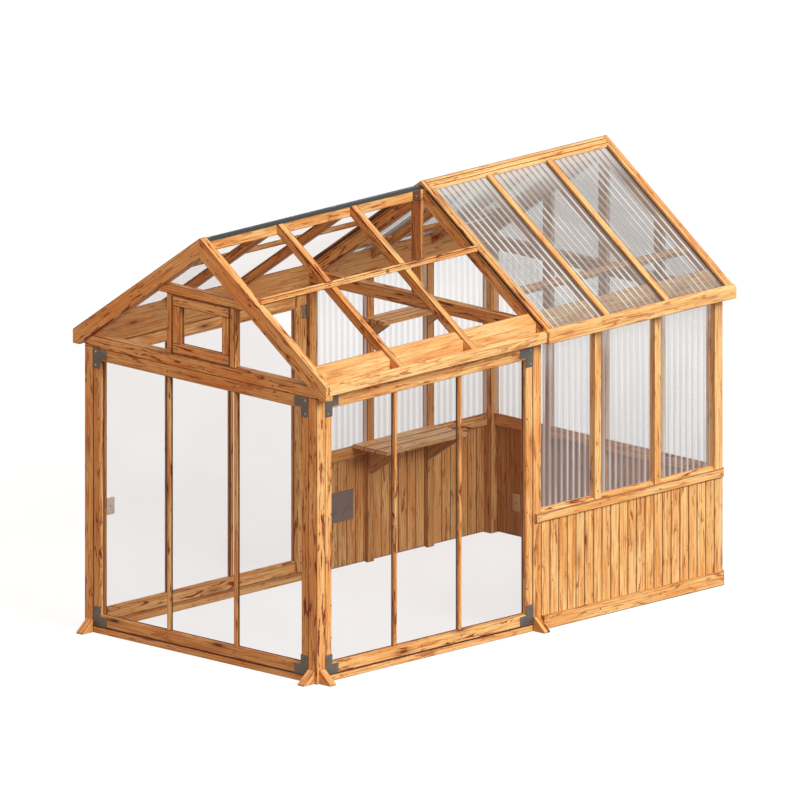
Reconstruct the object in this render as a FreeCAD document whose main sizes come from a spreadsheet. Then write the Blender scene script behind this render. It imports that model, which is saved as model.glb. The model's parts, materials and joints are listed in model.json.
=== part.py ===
import FreeCAD, Part
import Sketcher
import math
import os
import re

# Wooden mini greenhouse: a glazed front module with a side door and a gable vent,
# and a slightly higher rear module with boarded walls under corrugated glazing.
# Origin: middle of all that stands on the ground, feet and skirting included, at ground level.
# X runs across, Y from front to rear, Z up.

document = FreeCAD.newDocument("mini_greenhouse")

# Driving dimensions, in millimetres, degrees or plain counts
SIZES = {
    # Overall
    "house_width": 1620,
    "house_length": 2910,
    "front_module_length": 1610,
    "post_size": 60,
    "post_height": 1470,
    # Ground pieces
    "gusset_width": 44,
    "gusset_reach": 78,
    "gusset_height": 74,
    "gusset_toe": 8,
    "sill_height": 35,
    "skirting_height": 70,
    "skirting_thick": 18,
    "skirting_bevel": 8,
    # Beams
    "tie_height": 60,
    "junction_tie_rise": 55,
    "junction_tie_height": 63,
    "king_post_width": 65,
    "king_post_thick": 25,
    "king_post_proud": 10,
    # Roof
    "roof_pitch": 35,
    "front_roof_stand": 124,
    "rear_roof_stand": 138,
    "front_overhang": 75,
    "rear_overhang": 87,
    "gable_rafter_thick": 50,
    "gable_rafter_depth": 85,
    "gable_rafter_proud": 10,
    "junction_rafter_place": 25,
    "rafter_thick": 40,
    "rafter_depth": 45,
    "purlin_place": 610,
    "purlin_width": 40,
    "purlin_depth": 25,
    "ridge_beam_thick": 40,
    "ridge_beam_depth": 60,
    "ridge_cap_half_width": 28,
    "ridge_cap_flat": 13,
    "ridge_cap_rise": 6,
    "ridge_cap_groove": 2,
    "front_fascia_thick": 18,
    "front_fascia_height": 48,
    "front_fascia_inset": 25,
    "rear_fascia_thick": 20,
    "rear_fascia_height": 60,
    "rear_fascia_end": 10,
    "batten_place": 395,
    "batten_width": 14,
    "batten_height": 25,
    "batten_groove": 3,
    "batten_start": 30,
    "batten_set_back": 70,
    # Roof glass of the front module
    "roof_glass_thick": 4,
    "glass_set_down": 6,
    "groove_depth": 8,
    "groove_slack": 0.4,
    "glass_ridge_gap": 2,
    "glass_plate_lap": 50,
    # Corrugated sheets
    "sheet_depth": 9,
    "sheet_skin": 1.5,
    "sheet_gap": 0.5,
    "wall_wave_count": 9,
    "rear_wave_count": 8,
    "roof_wave_count": 10,
    "sheet_recess": 21,
    "sheet_eaves_gap": 7,
    "cap_thick": 12,
    "cap_width": 40,
    "ridge_board_width": 60,
    # Framed panels
    "panel_thick": 36,
    "stile_width": 50,
    "hinge_stile_width": 80,
    "bottom_rail_height": 62,
    "top_rail_height": 65,
    "glass_recess": 22,
    "pane_thick": 4,
    "pane_lap": 10,
    "pane_slack": 1,
    "moulding_width": 5,
    "shadow_width": 4,
    "shadow_depth": 8,
    "bar_width": 20,
    "bar_recess": 4,
    "bar_tongue": 6,
    "bead_height": 12,
    # Corner brackets
    "bracket_along": 94,
    "bracket_up": 105,
    "bracket_up_width": 50,
    "bracket_along_width": 54,
    "bracket_thick": 3,
    "bracket_gap": 12,
    # Door
    "door_gap": 5,
    "door_stop_thick": 10,
    "door_stop_width": 20,
    "door_stop_gap": 0.3,
    "hinge_height": 70,
    "hinge_sill_distance": 82,
    "hinge_middle_height": 650,
    "hinge_top_distance": 92,
    "hinge_leaf_thick": 2.5,
    "hinge_leaf_width": 34,
    "post_leaf_width": 28,
    "knuckle_radius": 4.5,
    "hinge_pin_radius": 2.5,
    "hinge_pin_clearance": 0.05,
    "knuckle_gap": 0.5,
    "handle_place": 82,
    "handle_height": 621,
    "handle_plate_width": 56,
    "handle_plate_height": 87,
    "handle_plate_thick": 3,
    "handle_plate_corner": 8,
    "handle_bolt_radius": 4,
    "knob_radius": 18,
    "knob_foot_radius": 14,
    "knob_foot_thick": 4,
    "knob_neck_radius": 8,
    "knob_head_length": 16,
    "knob_length": 34,
    # Gable vent
    "collar_rise": 308,
    "collar_height": 47,
    "vent_opening_width": 406,
    "vent_post_width": 33,
    "vent_surround_thick": 40,
    "vent_gap": 7,
    "sash_thick": 36,
    "sash_member": 50,
    "sash_lap": 8,
    "pivot_radius": 3,
    "pivot_clearance": 0.05,
    "pivot_set_down": 10,
    "pivot_set_back": 8,
    "pivot_engage": 15,
    "gable_pane_set_back": 18,
    # Boarded walls
    "stud_width": 50,
    "stud_depth": 36,
    "board_thick": 18,
    "board_ground_gap": 5,
    "side_board_count": 20,
    "rear_board_count": 24,
    "board_gap": 0.6,
    "board_tongue": 6,
    "board_tongue_depth": 6,
    "board_bevel": 3,
    "window_sill_level": 555,
    "window_sill_height": 62,
    "window_sill_slope": 15,
    "ledge_height": 45,
    "ledge_thick": 15,
    "ledge_bevel": 3,
    "ledge_start": 50,
    "ledge_end": 8,
    "rear_stud_count": 3,
    # Shelves and plates inside
    "lower_shelf_front_reach": 108,
    "lower_shelf_rear_reach": 43,
    "lower_shelf_depth": 242,
    "lower_shelf_rise": 11,
    "upper_shelf_front_reach": 30,
    "upper_shelf_rear_reach": 22,
    "upper_shelf_depth": 146,
    "upper_shelf_drop": 202,
    "slat_thick": 20,
    "slat_gap": 5,
    "slat_moulding": 6,
    "shelf_bracket_thick": 22,
    "shelf_bracket_toe": 14,
    "lower_bracket_drop": 150,
    "upper_bracket_drop": 90,
    "bracket_end_gap": 25,
    "grey_plate_stud_gap": 86,
    "grey_plate_width": 160,
    "grey_plate_bottom": 240,
    "grey_plate_height": 155,
    "pale_plate_start": 112,
    "pale_plate_width": 50,
    "pale_plate_bottom": 131,
    "pale_plate_height": 90,
    "cover_plate_thick": 3,
    "cover_plate_corner": 6,
}

sheet = document.addObject("Spreadsheet::Sheet", "Sizes")
for row, (alias, value) in enumerate(SIZES.items(), 1):
    sheet.set(f"A{row}", alias.replace("_", " "))
    sheet.set(f"B{row}", str(value))
    sheet.setAlias(f"B{row}", alias)
document.recompute()

WORD = re.compile(r"[a-z]+(?:_[a-z]+)+")


def bound(text):
    """An expression whose size names point at the sheet."""
    return WORD.sub(lambda found: "Sizes." + found.group(0), str(text))


def bind(item, prop, text):
    item.setExpression(prop, bound(text))


def count(alias):
    """A whole number read from the sheet, for the loops that repeat a piece."""
    return int(round(float(sheet.get(alias))))


# Places that many pieces share, written as expressions of the sizes
SIDE = "(house_width/2)"
SIDE_IN = "(house_width/2 - post_size)"
FRONT = "((gusset_reach - skirting_thick - house_length)/2)"
FRONT_IN = f"({FRONT} + post_size)"
REAR = f"({FRONT} + house_length)"
REAR_IN = f"({REAR} - post_size)"
JUNCTION_REAR = f"({FRONT} + front_module_length)"
JUNCTION_FRONT = f"({JUNCTION_REAR} - post_size)"
TIE_TOP = "(post_height + tie_height)"
COLLAR_LOW = f"({TIE_TOP} + collar_rise)"
COS = "cos(roof_pitch)"
TAN = "tan(roof_pitch)"
FRONT_EAVES = "(house_width/2 + front_overhang)"
REAR_EAVES = "(house_width/2 + rear_overhang)"
FRONT_TAIL = f"({FRONT_EAVES} - front_fascia_thick)"
REAR_TAIL = f"({REAR_EAVES} - rear_fascia_thick)"
GABLE_FRONT = f"({FRONT} - gable_rafter_proud)"
GABLE_BACK = f"({GABLE_FRONT} + gable_rafter_thick)"
ROOF_JUNCTION = f"({JUNCTION_FRONT} + junction_rafter_place)"
JUNCTION_STEP = f"({ROOF_JUNCTION} + gable_rafter_thick/2)"
JUNCTION_BACK = f"({ROOF_JUNCTION} + gable_rafter_thick)"
REAR_STEP = f"({REAR} - gable_rafter_thick/2)"
REAR_GABLE_IN = f"({REAR} - gable_rafter_thick)"
RIDGE_SIDE = "(ridge_beam_thick/2)"
GABLE_DROP = f"(gable_rafter_depth/{COS})"
RAFTER_DROP = f"(rafter_depth/{COS})"
GLASS_TOP_DROP = f"(glass_set_down/{COS})"
GLASS_DROP = f"((glass_set_down + roof_glass_thick)/{COS})"
SHEET_DROP = f"((cap_thick + sheet_depth)/{COS})"
CAP_DROP = f"(cap_thick/{COS})"
SILL_TOP = "(window_sill_level + window_sill_height)"
# How far a rounded corner's middle lies inside its square one, as a share of the radius
CORNER_SHARE = 1 - math.cos(math.pi/4)
BAY = f"(({REAR_IN} - {JUNCTION_REAR} - 2*stud_width)/3)"
STUD_ONE = f"({JUNCTION_REAR} + {BAY})"
STUD_TWO = f"({JUNCTION_REAR} + 2*{BAY} + stud_width)"


def front_roof(place, drop="0"):
    """Height of the front roof plane, less a vertical drop, at a distance from the middle."""
    return f"(post_height + front_roof_stand + ({SIDE} - ({place}))*{TAN} - {drop})"


def rear_roof(place, drop="0"):
    """Height of the rear roof plane, less a vertical drop, at a distance from the middle."""
    return f"(post_height + rear_roof_stand + ({SIDE} - ({place}))*{TAN} - {drop})"


# Helpers that make one solid each


def box(name, across, along, upward):
    """A squared timber or plate between pairs of places on the three axes."""
    item = document.addObject("Part::Box", name)
    sides = (("Length", "x", across), ("Width", "y", along), ("Height", "z", upward))
    for size, axis, (low, high) in sides:
        bind(item, size, f"({high}) - ({low})")
        bind(item, f"Placement.Base.{axis}", low)
    return item


def profile_sketch(body, name, plane, points, low):
    """A closed outline on one of the body's own planes, every corner held by two dimensions."""
    sketch = body.newObject("Sketcher::SketchObject", name)
    support = [item for item in body.Origin.OriginFeatures if item.Role == plane][0]
    sketch.AttachmentSupport = [(support, "")]
    sketch.MapMode = "FlatFace"
    corners = len(points)
    turn = 2*math.pi/corners
    ring = [FreeCAD.Vector(math.cos(turn*place), math.sin(turn*place), 0) for place in range(corners)]
    lines = [Part.LineSegment(ring[place], ring[(place + 1) % corners]) for place in range(corners)]
    sketch.addGeometry(lines, False)
    holds = [Sketcher.Constraint("Coincident", place, 2, (place + 1) % corners, 1)
             for place in range(corners)]
    for place, point in enumerate(ring):
        holds.append(Sketcher.Constraint("DistanceX", -1, 1, place, 1, point.x))
        holds.append(Sketcher.Constraint("DistanceY", -1, 1, place, 1, point.y))
    sketch.addConstraint(holds)
    for place, (first, second) in enumerate(points):
        bind(sketch, f"Constraints[{corners + 2*place}]", first)
        bind(sketch, f"Constraints[{corners + 2*place + 1}]", second)
    offset = f"-({low})" if plane == "XZ_Plane" else low
    bind(sketch, "AttachmentOffset.Base.z", offset)
    return sketch


def prism(name, plane, points, low, high):
    """A timber of constant section: an outline on a plane, padded from low to high."""
    body = document.addObject("PartDesign::Body", name)
    sketch = profile_sketch(body, name + "_profile", plane, points, low)
    pad = body.newObject("PartDesign::Pad", name + "_pad")
    pad.Profile = sketch
    pad.Reversed = plane == "XZ_Plane"
    bind(pad, "Length", f"({high}) - ({low})")
    body.Tip = pad
    return body


def rod(name, axis, centre, low, high, radius):
    """A round bar along an axis; centre gives the other two places in X, Y, Z order."""
    item = document.addObject("Part::Cylinder", name)
    bind(item, "Radius", radius)
    bind(item, "Height", f"({high}) - ({low})")
    first, second = centre
    if axis == "x":
        item.Placement = FreeCAD.Placement(FreeCAD.Vector(), FreeCAD.Rotation(FreeCAD.Vector(0, 1, 0), 90))
        places = (low, first, second)
    elif axis == "y":
        item.Placement = FreeCAD.Placement(FreeCAD.Vector(), FreeCAD.Rotation(FreeCAD.Vector(1, 0, 0), -90))
        places = (first, low, second)
    else:
        places = (first, second, low)
    for letter, place in zip("xyz", places):
        bind(item, f"Placement.Base.{letter}", place)
    return item


# Helpers that combine solids


def group(name, pieces):
    """Several separate solids kept as one named sub-part."""
    item = document.addObject("Part::Compound", name)
    item.Links = pieces
    return item


def cut(name, base, tool):
    item = document.addObject("Part::Cut", name)
    item.Base = base
    item.Tool = tool
    return item


def fuse(name, pieces):
    item = document.addObject("Part::MultiFuse", name)
    item.Shapes = pieces
    return item


def mirrored(name, source):
    """The same piece on the left side of the house."""
    item = document.addObject("Part::Mirroring", name)
    item.Source = source
    item.Normal = (1, 0, 0)
    return item


def both_sides(name, source):
    return group(name, [source, mirrored(name + "_left", source)])


sub_parts = []


def keep(name, item):
    """Mark a finished object as a sub-part of the house; its label names its file."""
    item.Label = name
    sub_parts.append(item)
    return item


# Posts, foot gussets and base sills


def post(name, left, front):
    across = (f"-{SIDE}", f"-{SIDE_IN}") if left else (SIDE_IN, SIDE)
    along = (front, f"{front} + post_size")
    return keep(name, box(name + "_timber", across, along, ("0", "post_height")))


def front_gusset(name, start):
    """A triangular foot against the front face of a post, blunt at its toe."""
    points = [(FRONT, "0"), (FRONT, "gusset_height"), (f"{FRONT} - gusset_reach", "gusset_toe"),
              (f"{FRONT} - gusset_reach", "0")]
    return prism(name, "YZ_Plane", points, start, f"{start} + gusset_width")


def side_gusset(name, start):
    """A triangular foot against the right face of a post."""
    points = [(SIDE, "0"), (SIDE, "gusset_height"), (f"{SIDE} + gusset_reach", "gusset_toe"),
              (f"{SIDE} + gusset_reach", "0")]
    return prism(name, "XZ_Plane", points, start, f"{start} + gusset_width")


def make_posts():
    for place, front in (("front", FRONT), ("junction", JUNCTION_FRONT), ("rear", REAR_IN)):
        post(f"post_{place}_left", True, front)
        post(f"post_{place}_right", False, front)
    gussets = [
        front_gusset("gusset_front_left", f"-{SIDE_IN} - gusset_width"),
        front_gusset("gusset_front_right", SIDE_IN),
        side_gusset("gusset_side_front", f"{FRONT_IN} - gusset_width"),
        side_gusset("gusset_side_junction", JUNCTION_FRONT),
    ]
    keep("foot_gussets", group("gusset_group", gussets))
    sills = [
        box("sill_front", (f"-{SIDE_IN}", SIDE_IN), (FRONT, FRONT_IN), ("0", "sill_height")),
        box("sill_right", (SIDE_IN, SIDE), (FRONT_IN, JUNCTION_FRONT), ("0", "sill_height")),
        box("sill_left", (f"-{SIDE}", f"-{SIDE_IN}"), (FRONT_IN, JUNCTION_FRONT), ("0", "sill_height")),
    ]
    keep("base_sills", group("sill_group", sills))


# Roof glass of the front module, and the same shape with slack, which cuts its grooves


def glass_bays():
    """Front and rear places of the three glazed bays between the rafters."""
    inner = [GABLE_BACK]
    for number in (1, 2):
        centre = common_rafter_place(number)
        inner.append(f"({centre} - rafter_thick/2)")
        inner.append(f"({centre} + rafter_thick/2)")
    inner.append(ROOF_JUNCTION)
    return [(inner[2*place], inner[2*place + 1]) for place in range(3)]


def common_rafter_place(number):
    """Centre of a common rafter of the front module, the clear bays being equal."""
    clear = f"(({ROOF_JUNCTION} - {GABLE_BACK} - 2*rafter_thick)/3)"
    return f"({GABLE_BACK} + {number}*{clear} + ({number} - 0.5)*rafter_thick)"


def slope_glass(name, slack):
    """One pane per bay on the right slope, its side edges in the rafter grooves."""
    top = f"({GLASS_TOP_DROP} - {slack})"
    near = f"({RIDGE_SIDE} + glass_ridge_gap - {slack})"
    far = f"({SIDE_IN} + glass_plate_lap + {slack})"
    points = [(near, front_roof(near, GLASS_DROP)), (far, front_roof(far, GLASS_DROP)),
              (far, front_roof(far, top)), (near, front_roof(near, top))]
    panes = []
    for place, (low, high) in enumerate(glass_bays()):
        panes.append(prism(f"{name}_{place}", "XZ_Plane", points,
                           f"{low} - groove_depth - {slack}", f"{high} + groove_depth + {slack}"))
    return group(name, panes)


def make_roof_glass():
    panes = slope_glass("slope_panes", "0")
    keep("roof_glass", both_sides("roof_glass_group", panes))
    return both_sides("glass_grooves", slope_glass("groove_tool", "groove_slack"))


# Rafters


def gable_points(roof, tail, foot):
    """Outline of the right-hand gable rafter: plumb at the ridge and the tail, level at the foot."""
    turn = f"(({roof('0', GABLE_DROP)} - {foot})/{TAN})"
    return [("0", roof("0", GABLE_DROP)), (turn, foot), (tail, foot), (tail, roof(tail)), ("0", roof("0"))]


def make_fascias():
    """Boards along the eaves, their tops planed to the roof slope."""
    front = [(FRONT_TAIL, f"{front_roof(FRONT_EAVES)} - front_fascia_height"),
             (FRONT_EAVES, f"{front_roof(FRONT_EAVES)} - front_fascia_height"),
             (FRONT_EAVES, front_roof(FRONT_EAVES)), (FRONT_TAIL, front_roof(FRONT_TAIL))]
    rear = [(REAR_TAIL, f"{rear_roof(REAR_EAVES)} - rear_fascia_height"),
            (REAR_EAVES, f"{rear_roof(REAR_EAVES)} - rear_fascia_height"),
            (REAR_EAVES, rear_roof(REAR_EAVES)), (REAR_TAIL, rear_roof(REAR_TAIL))]
    front_board = prism("fascia_front", "XZ_Plane", front,
                        f"{GABLE_FRONT} + front_fascia_inset", ROOF_JUNCTION)
    rear_board = prism("fascia_rear", "XZ_Plane", rear, ROOF_JUNCTION, f"{REAR} + rear_fascia_end")
    fronts = both_sides("fascia_front_pair", front_board)
    rears = both_sides("fascia_rear_pair", rear_board)
    keep("eaves_fascias", group("fascia_group", [fronts, rears]))
    return fronts


def make_rafters(grooves, fascias):
    """All rafters; the gable pairs meet in a plumb mitre, the common ones butt on the ridge beams."""
    outline = gable_points(front_roof, FRONT_EAVES, "post_height")
    gable = prism("gable_rafter_right", "XZ_Plane", outline, GABLE_FRONT, GABLE_BACK)
    pair = both_sides("gable_rafter_pair", gable)
    housed = cut("gable_rafters_housed", pair, fascias)
    gable_pair = cut("gable_rafters_grooved", housed, grooves)

    start = RIDGE_SIDE
    common = [(start, front_roof(start, RAFTER_DROP)), (FRONT_TAIL, front_roof(FRONT_TAIL, RAFTER_DROP)),
              (FRONT_TAIL, front_roof(FRONT_TAIL)), (start, front_roof(start))]
    fronts = []
    for number in (1, 2):
        centre = common_rafter_place(number)
        fronts.append(prism(f"common_rafter_{number}", "XZ_Plane", common,
                            f"{centre} - rafter_thick/2", f"{centre} + rafter_thick/2"))
    common_pairs = both_sides("common_rafter_group", group("common_rafters_right", fronts))
    front_commons = cut("common_rafters_grooved", common_pairs, grooves)

    foot = f"({rear_roof(REAR_EAVES)} - rear_fascia_height)"
    raised = gable_points(rear_roof, REAR_TAIL, foot)
    step = [("0", rear_roof("0", SHEET_DROP)), (REAR_TAIL, rear_roof(REAR_TAIL, SHEET_DROP)),
            (REAR_TAIL, rear_roof(REAR_TAIL, f"(-{GABLE_DROP})")),
            ("0", rear_roof("0", f"(-{GABLE_DROP})"))]
    junction = cut("junction_rafter_right",
                   prism("junction_rafter_blank", "XZ_Plane", raised, ROOF_JUNCTION, JUNCTION_BACK),
                   prism("junction_rafter_step", "XZ_Plane", step, JUNCTION_STEP, JUNCTION_BACK))
    junction_pair = both_sides("junction_rafter_pair", junction)
    keep("junction_rafters", cut("junction_rafters_grooved", junction_pair, grooves))
    rear = cut("rear_rafter_right",
               prism("rear_rafter_blank", "XZ_Plane", raised, REAR_GABLE_IN, REAR),
               prism("rear_rafter_step", "XZ_Plane", step, REAR_GABLE_IN, REAR_STEP))
    rear_pair = both_sides("rear_rafter_pair", rear)
    keep("gable_rafters", group("gable_rafter_group", [gable_pair, rear_pair]))

    lower = f"({SHEET_DROP} + {RAFTER_DROP})"
    sheeted = [(start, rear_roof(start, lower)), (REAR_TAIL, rear_roof(REAR_TAIL, lower)),
               (REAR_TAIL, rear_roof(REAR_TAIL, SHEET_DROP)), (start, rear_roof(start, SHEET_DROP))]
    rears = []
    for number, stud in enumerate((STUD_ONE, STUD_TWO), 1):
        centre = f"({stud} + stud_width/2)"
        rears.append(prism(f"sheeted_rafter_{number}", "XZ_Plane", sheeted,
                           f"{centre} - rafter_thick/2", f"{centre} + rafter_thick/2"))
    rear_commons = both_sides("sheeted_rafter_group", group("sheeted_right", rears))
    make_purlins()
    keep("common_rafters", group("common_rafter_set", [front_commons, rear_commons]))
    return gable_pair, common_pairs, junction_pair, rear_pair, rear_commons


def make_purlins():
    """Short purlins under the sheets, between the rafters of the rear roof and square to its slope."""
    near = "purlin_place"
    far = f"({near} + purlin_width*{COS})"
    inward = "(purlin_depth*sin(roof_pitch))"
    down = f"(purlin_depth*{COS})"
    points = [(near, rear_roof(near, SHEET_DROP)), (far, rear_roof(far, SHEET_DROP)),
              (f"({far} - {inward})", f"({rear_roof(far, SHEET_DROP)} - {down})"),
              (f"({near} - {inward})", f"({rear_roof(near, SHEET_DROP)} - {down})")]
    ends = [JUNCTION_BACK]
    for stud in (STUD_ONE, STUD_TWO):
        ends.append(f"({stud} + stud_width/2 - rafter_thick/2)")
        ends.append(f"({stud} + stud_width/2 + rafter_thick/2)")
    ends.append(REAR_GABLE_IN)
    purlins = [prism(f"purlin_{number + 1}", "XZ_Plane", points, ends[2*number], ends[2*number + 1])
               for number in range(3)]
    keep("roof_purlins", both_sides("purlin_group", group("purlins_right", purlins)))


# Ridge beams, ridge cap, ridge boards, battens and caps


def make_ridges():
    top = front_roof(RIDGE_SIDE)
    front_beam = box("ridge_front_timber", (f"-{RIDGE_SIDE}", RIDGE_SIDE), (GABLE_BACK, ROOF_JUNCTION),
                     (f"{top} - ridge_beam_depth", top))
    sheeted = rear_roof(RIDGE_SIDE, SHEET_DROP)
    rear_beam = box("ridge_rear_timber", (f"-{RIDGE_SIDE}", RIDGE_SIDE), (JUNCTION_BACK, REAR_GABLE_IN),
                    (f"{sheeted} - ridge_beam_depth", sheeted))
    keep("ridge_beams", group("ridge_beam_group", [front_beam, rear_beam]))
    edge = "ridge_cap_half_width"
    skirt = f"({front_roof(edge)} + ridge_cap_rise/2)"
    crest = f"({top} + ridge_cap_rise)"
    valley = f"(({crest} + {skirt})/2)"
    middle = f"(({edge} + ridge_cap_flat)/2)"
    right = [(RIDGE_SIDE, top), (edge, front_roof(edge)), (edge, skirt),
             (f"{middle} + ridge_cap_groove", f"{valley} - ridge_cap_groove/2"),
             (f"{middle} - ridge_cap_groove", f"{valley} - ridge_cap_groove/2"),
             ("ridge_cap_flat", crest)]
    left = [(f"-({place})", height) for place, height in reversed(right)]
    keep("ridge_cap", prism("ridge_cap_strip", "XZ_Plane", right + left, GABLE_BACK, ROOF_JUNCTION))

    board = f"(ridge_board_width*{COS})"
    boards = [("0", rear_roof("0", CAP_DROP)), (board, rear_roof(board, CAP_DROP)),
              (board, rear_roof(board)), ("0", rear_roof("0"))]
    keep("ridge_boards", both_sides("ridge_board_pair",
                                    prism("ridge_board", "XZ_Plane", boards, JUNCTION_STEP, REAR_STEP)))

    strip = [(board, rear_roof(board, CAP_DROP)), (REAR_TAIL, rear_roof(REAR_TAIL, CAP_DROP)),
             (REAR_TAIL, rear_roof(REAR_TAIL)), (board, rear_roof(board))]
    caps = [prism("edge_strip_junction", "XZ_Plane", strip, JUNCTION_STEP, JUNCTION_BACK),
            prism("edge_strip_rear", "XZ_Plane", strip, REAR_GABLE_IN, REAR_STEP)]
    for number, stud in enumerate((STUD_ONE, STUD_TWO), 1):
        centre = f"({stud} + stud_width/2)"
        caps.append(prism(f"bar_cap_{number}", "XZ_Plane", strip,
                          f"{centre} - cap_width/2", f"{centre} + cap_width/2"))
    keep("glazing_bar_caps", both_sides("cap_group", group("caps_right", caps)))

    near = "(batten_place - batten_width/2)"
    far = "(batten_place + batten_width/2)"
    high = "(-batten_height)"
    mid = f"({front_roof(far)} + batten_height/2)"
    batten = [(near, front_roof(near)), (far, front_roof(far)), (far, f"{mid} - batten_groove"),
              (f"{far} - batten_groove", mid), (far, f"{mid} + batten_groove"),
              (far, front_roof(far, high)), (near, front_roof(near, high))]
    right_batten = prism("roof_batten_right", "XZ_Plane", batten, f"{GABLE_FRONT} + batten_start",
                         ROOF_JUNCTION)
    short_batten = prism("roof_batten_short", "XZ_Plane", batten, f"{GABLE_BACK} + batten_set_back",
                         ROOF_JUNCTION)
    keep("roof_battens", group("batten_pair", [right_batten, mirrored("roof_batten_left", short_batten)]))


# Wall plates and tie beams


def make_beams(rafters):
    gable_pair, common_pairs, junction_pair, rear_pair, rear_commons = rafters
    front_tie = cut("tie_front_housed", box("tie_front_timber", (f"-{SIDE}", SIDE), (FRONT, FRONT_IN),
                                            ("post_height", TIE_TOP)), gable_pair)
    keep("tie_beam_front", front_tie)
    rear_tie = cut("tie_rear_housed", box("tie_rear_timber", (f"-{SIDE}", SIDE), (REAR_IN, REAR),
                                          ("post_height", TIE_TOP)), rear_pair)
    keep("tie_beam_rear", rear_tie)

    front_top = front_roof(SIDE_IN, GLASS_DROP)
    front_plate = [(SIDE_IN, "post_height"), (SIDE, "post_height"),
                   (SIDE, front_roof(SIDE, GLASS_DROP)), (SIDE_IN, front_top)]
    fronts = both_sides("plate_front_blank", prism("plate_front", "XZ_Plane", front_plate,
                                                   GABLE_BACK, ROOF_JUNCTION))
    notches = group("plate_front_notches", [front_tie, common_pairs])
    front_plates = cut("plate_front_notched", fronts, notches)

    rear_plate = [(SIDE_IN, "post_height"), (SIDE, "post_height"),
                  (SIDE, rear_roof(SIDE, SHEET_DROP)), (SIDE_IN, rear_roof(SIDE_IN, SHEET_DROP))]
    rears = both_sides("plate_rear_blank", prism("plate_rear", "XZ_Plane", rear_plate, ROOF_JUNCTION, REAR))
    notches = group("plate_rear_notches", [rear_tie, junction_pair, rear_pair, rear_commons])
    rear_plates = cut("plate_rear_notched", rears, notches)
    keep("wall_plates", group("wall_plate_group", [front_plates, rear_plates]))

    low = "(post_height + junction_tie_rise)"
    high = f"({low} + junction_tie_height)"
    tie = box("tie_junction_timber", (f"-{SIDE_IN}", SIDE_IN), (JUNCTION_FRONT, JUNCTION_REAR), (low, high))
    keep("tie_beam_junction", cut("tie_junction_housed", tie, junction_pair))
    front = f"({JUNCTION_FRONT} - king_post_proud)"
    keep("king_post", box("king_post_timber", ("-king_post_width/2", "king_post_width/2"),
                          (front, f"{front} + king_post_thick"),
                          (high, f"{front_roof(RIDGE_SIDE)} - ridge_beam_depth")))


# Framed panels of the front module
# Each is drawn flat, as a local frame: u runs along the wall, d goes inward from the outer face.
# A turn function puts (u, d) into the plan of its wall.


def front_turn(along, inward):
    return along, f"{FRONT} + {inward}"


def right_turn(along, inward):
    return f"{SIDE} - ({inward})", along


def door_turn(along, inward):
    return f"-{SIDE} + door_stop_thick + {inward}", along


def plan_prism(name, turn, points, low, high):
    return prism(name, "XY_Plane", [turn(along, inward) for along, inward in points], low, high)


def wall_prism(name, wall, points, start, end):
    """A rail of constant section along its wall; points are (inward, height) pairs."""
    if wall == "front":
        section = [(f"{FRONT} + {inward}", height) for inward, height in points]
        return prism(name, "YZ_Plane", section, start, end)
    if wall == "right":
        section = [(f"{SIDE} - ({inward})", height) for inward, height in points]
    else:
        section = [(f"-{SIDE} + door_stop_thick + {inward}", height) for inward, height in points]
    return prism(name, "XZ_Plane", section, start, end)


def stile_section(outer, inner, sense):
    """Plan of a stile: shadow rebate at the post, moulded edge and glazing rebate at the pane."""
    rebate = f"({inner} - ({sense})*pane_lap)"
    return [(f"({outer} + ({sense})*shadow_width)", "0"),
            (f"({inner} - ({sense})*moulding_width)", "0"), (inner, "moulding_width"),
            (inner, "glass_recess"),
            (rebate, "glass_recess"), (rebate, "panel_thick"), (outer, "panel_thick"),
            (outer, "shadow_depth"), (f"({outer} + ({sense})*shadow_width)", "shadow_depth")]


def rail_section(outer, inner, sense):
    """The same section turned upright, for a rail."""
    return [(inward, height) for height, inward in stile_section(outer, inner, sense)]


PANELS = {
    "front": (front_turn, f"-{SIDE_IN}", SIDE_IN, "stile_width", "sill_height", "post_height"),
    "right": (right_turn, FRONT_IN, JUNCTION_FRONT, "stile_width", "sill_height", "post_height"),
    "door": (door_turn, f"({FRONT_IN} + door_gap)", f"({JUNCTION_FRONT} - door_gap)",
             "hinge_stile_width", "(sill_height + door_gap)", "(post_height - door_gap)"),
}


def bar_places(wall):
    """Centres of the two glazing bars, which share the daylight opening in three."""
    turn, start, end, last_width, low, high = PANELS[wall]
    first = f"({start} + stile_width)"
    last = f"({end} - {last_width})"
    return [f"({first} + ({last} - {first})*{number}/3)" for number in (1, 2)]


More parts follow.
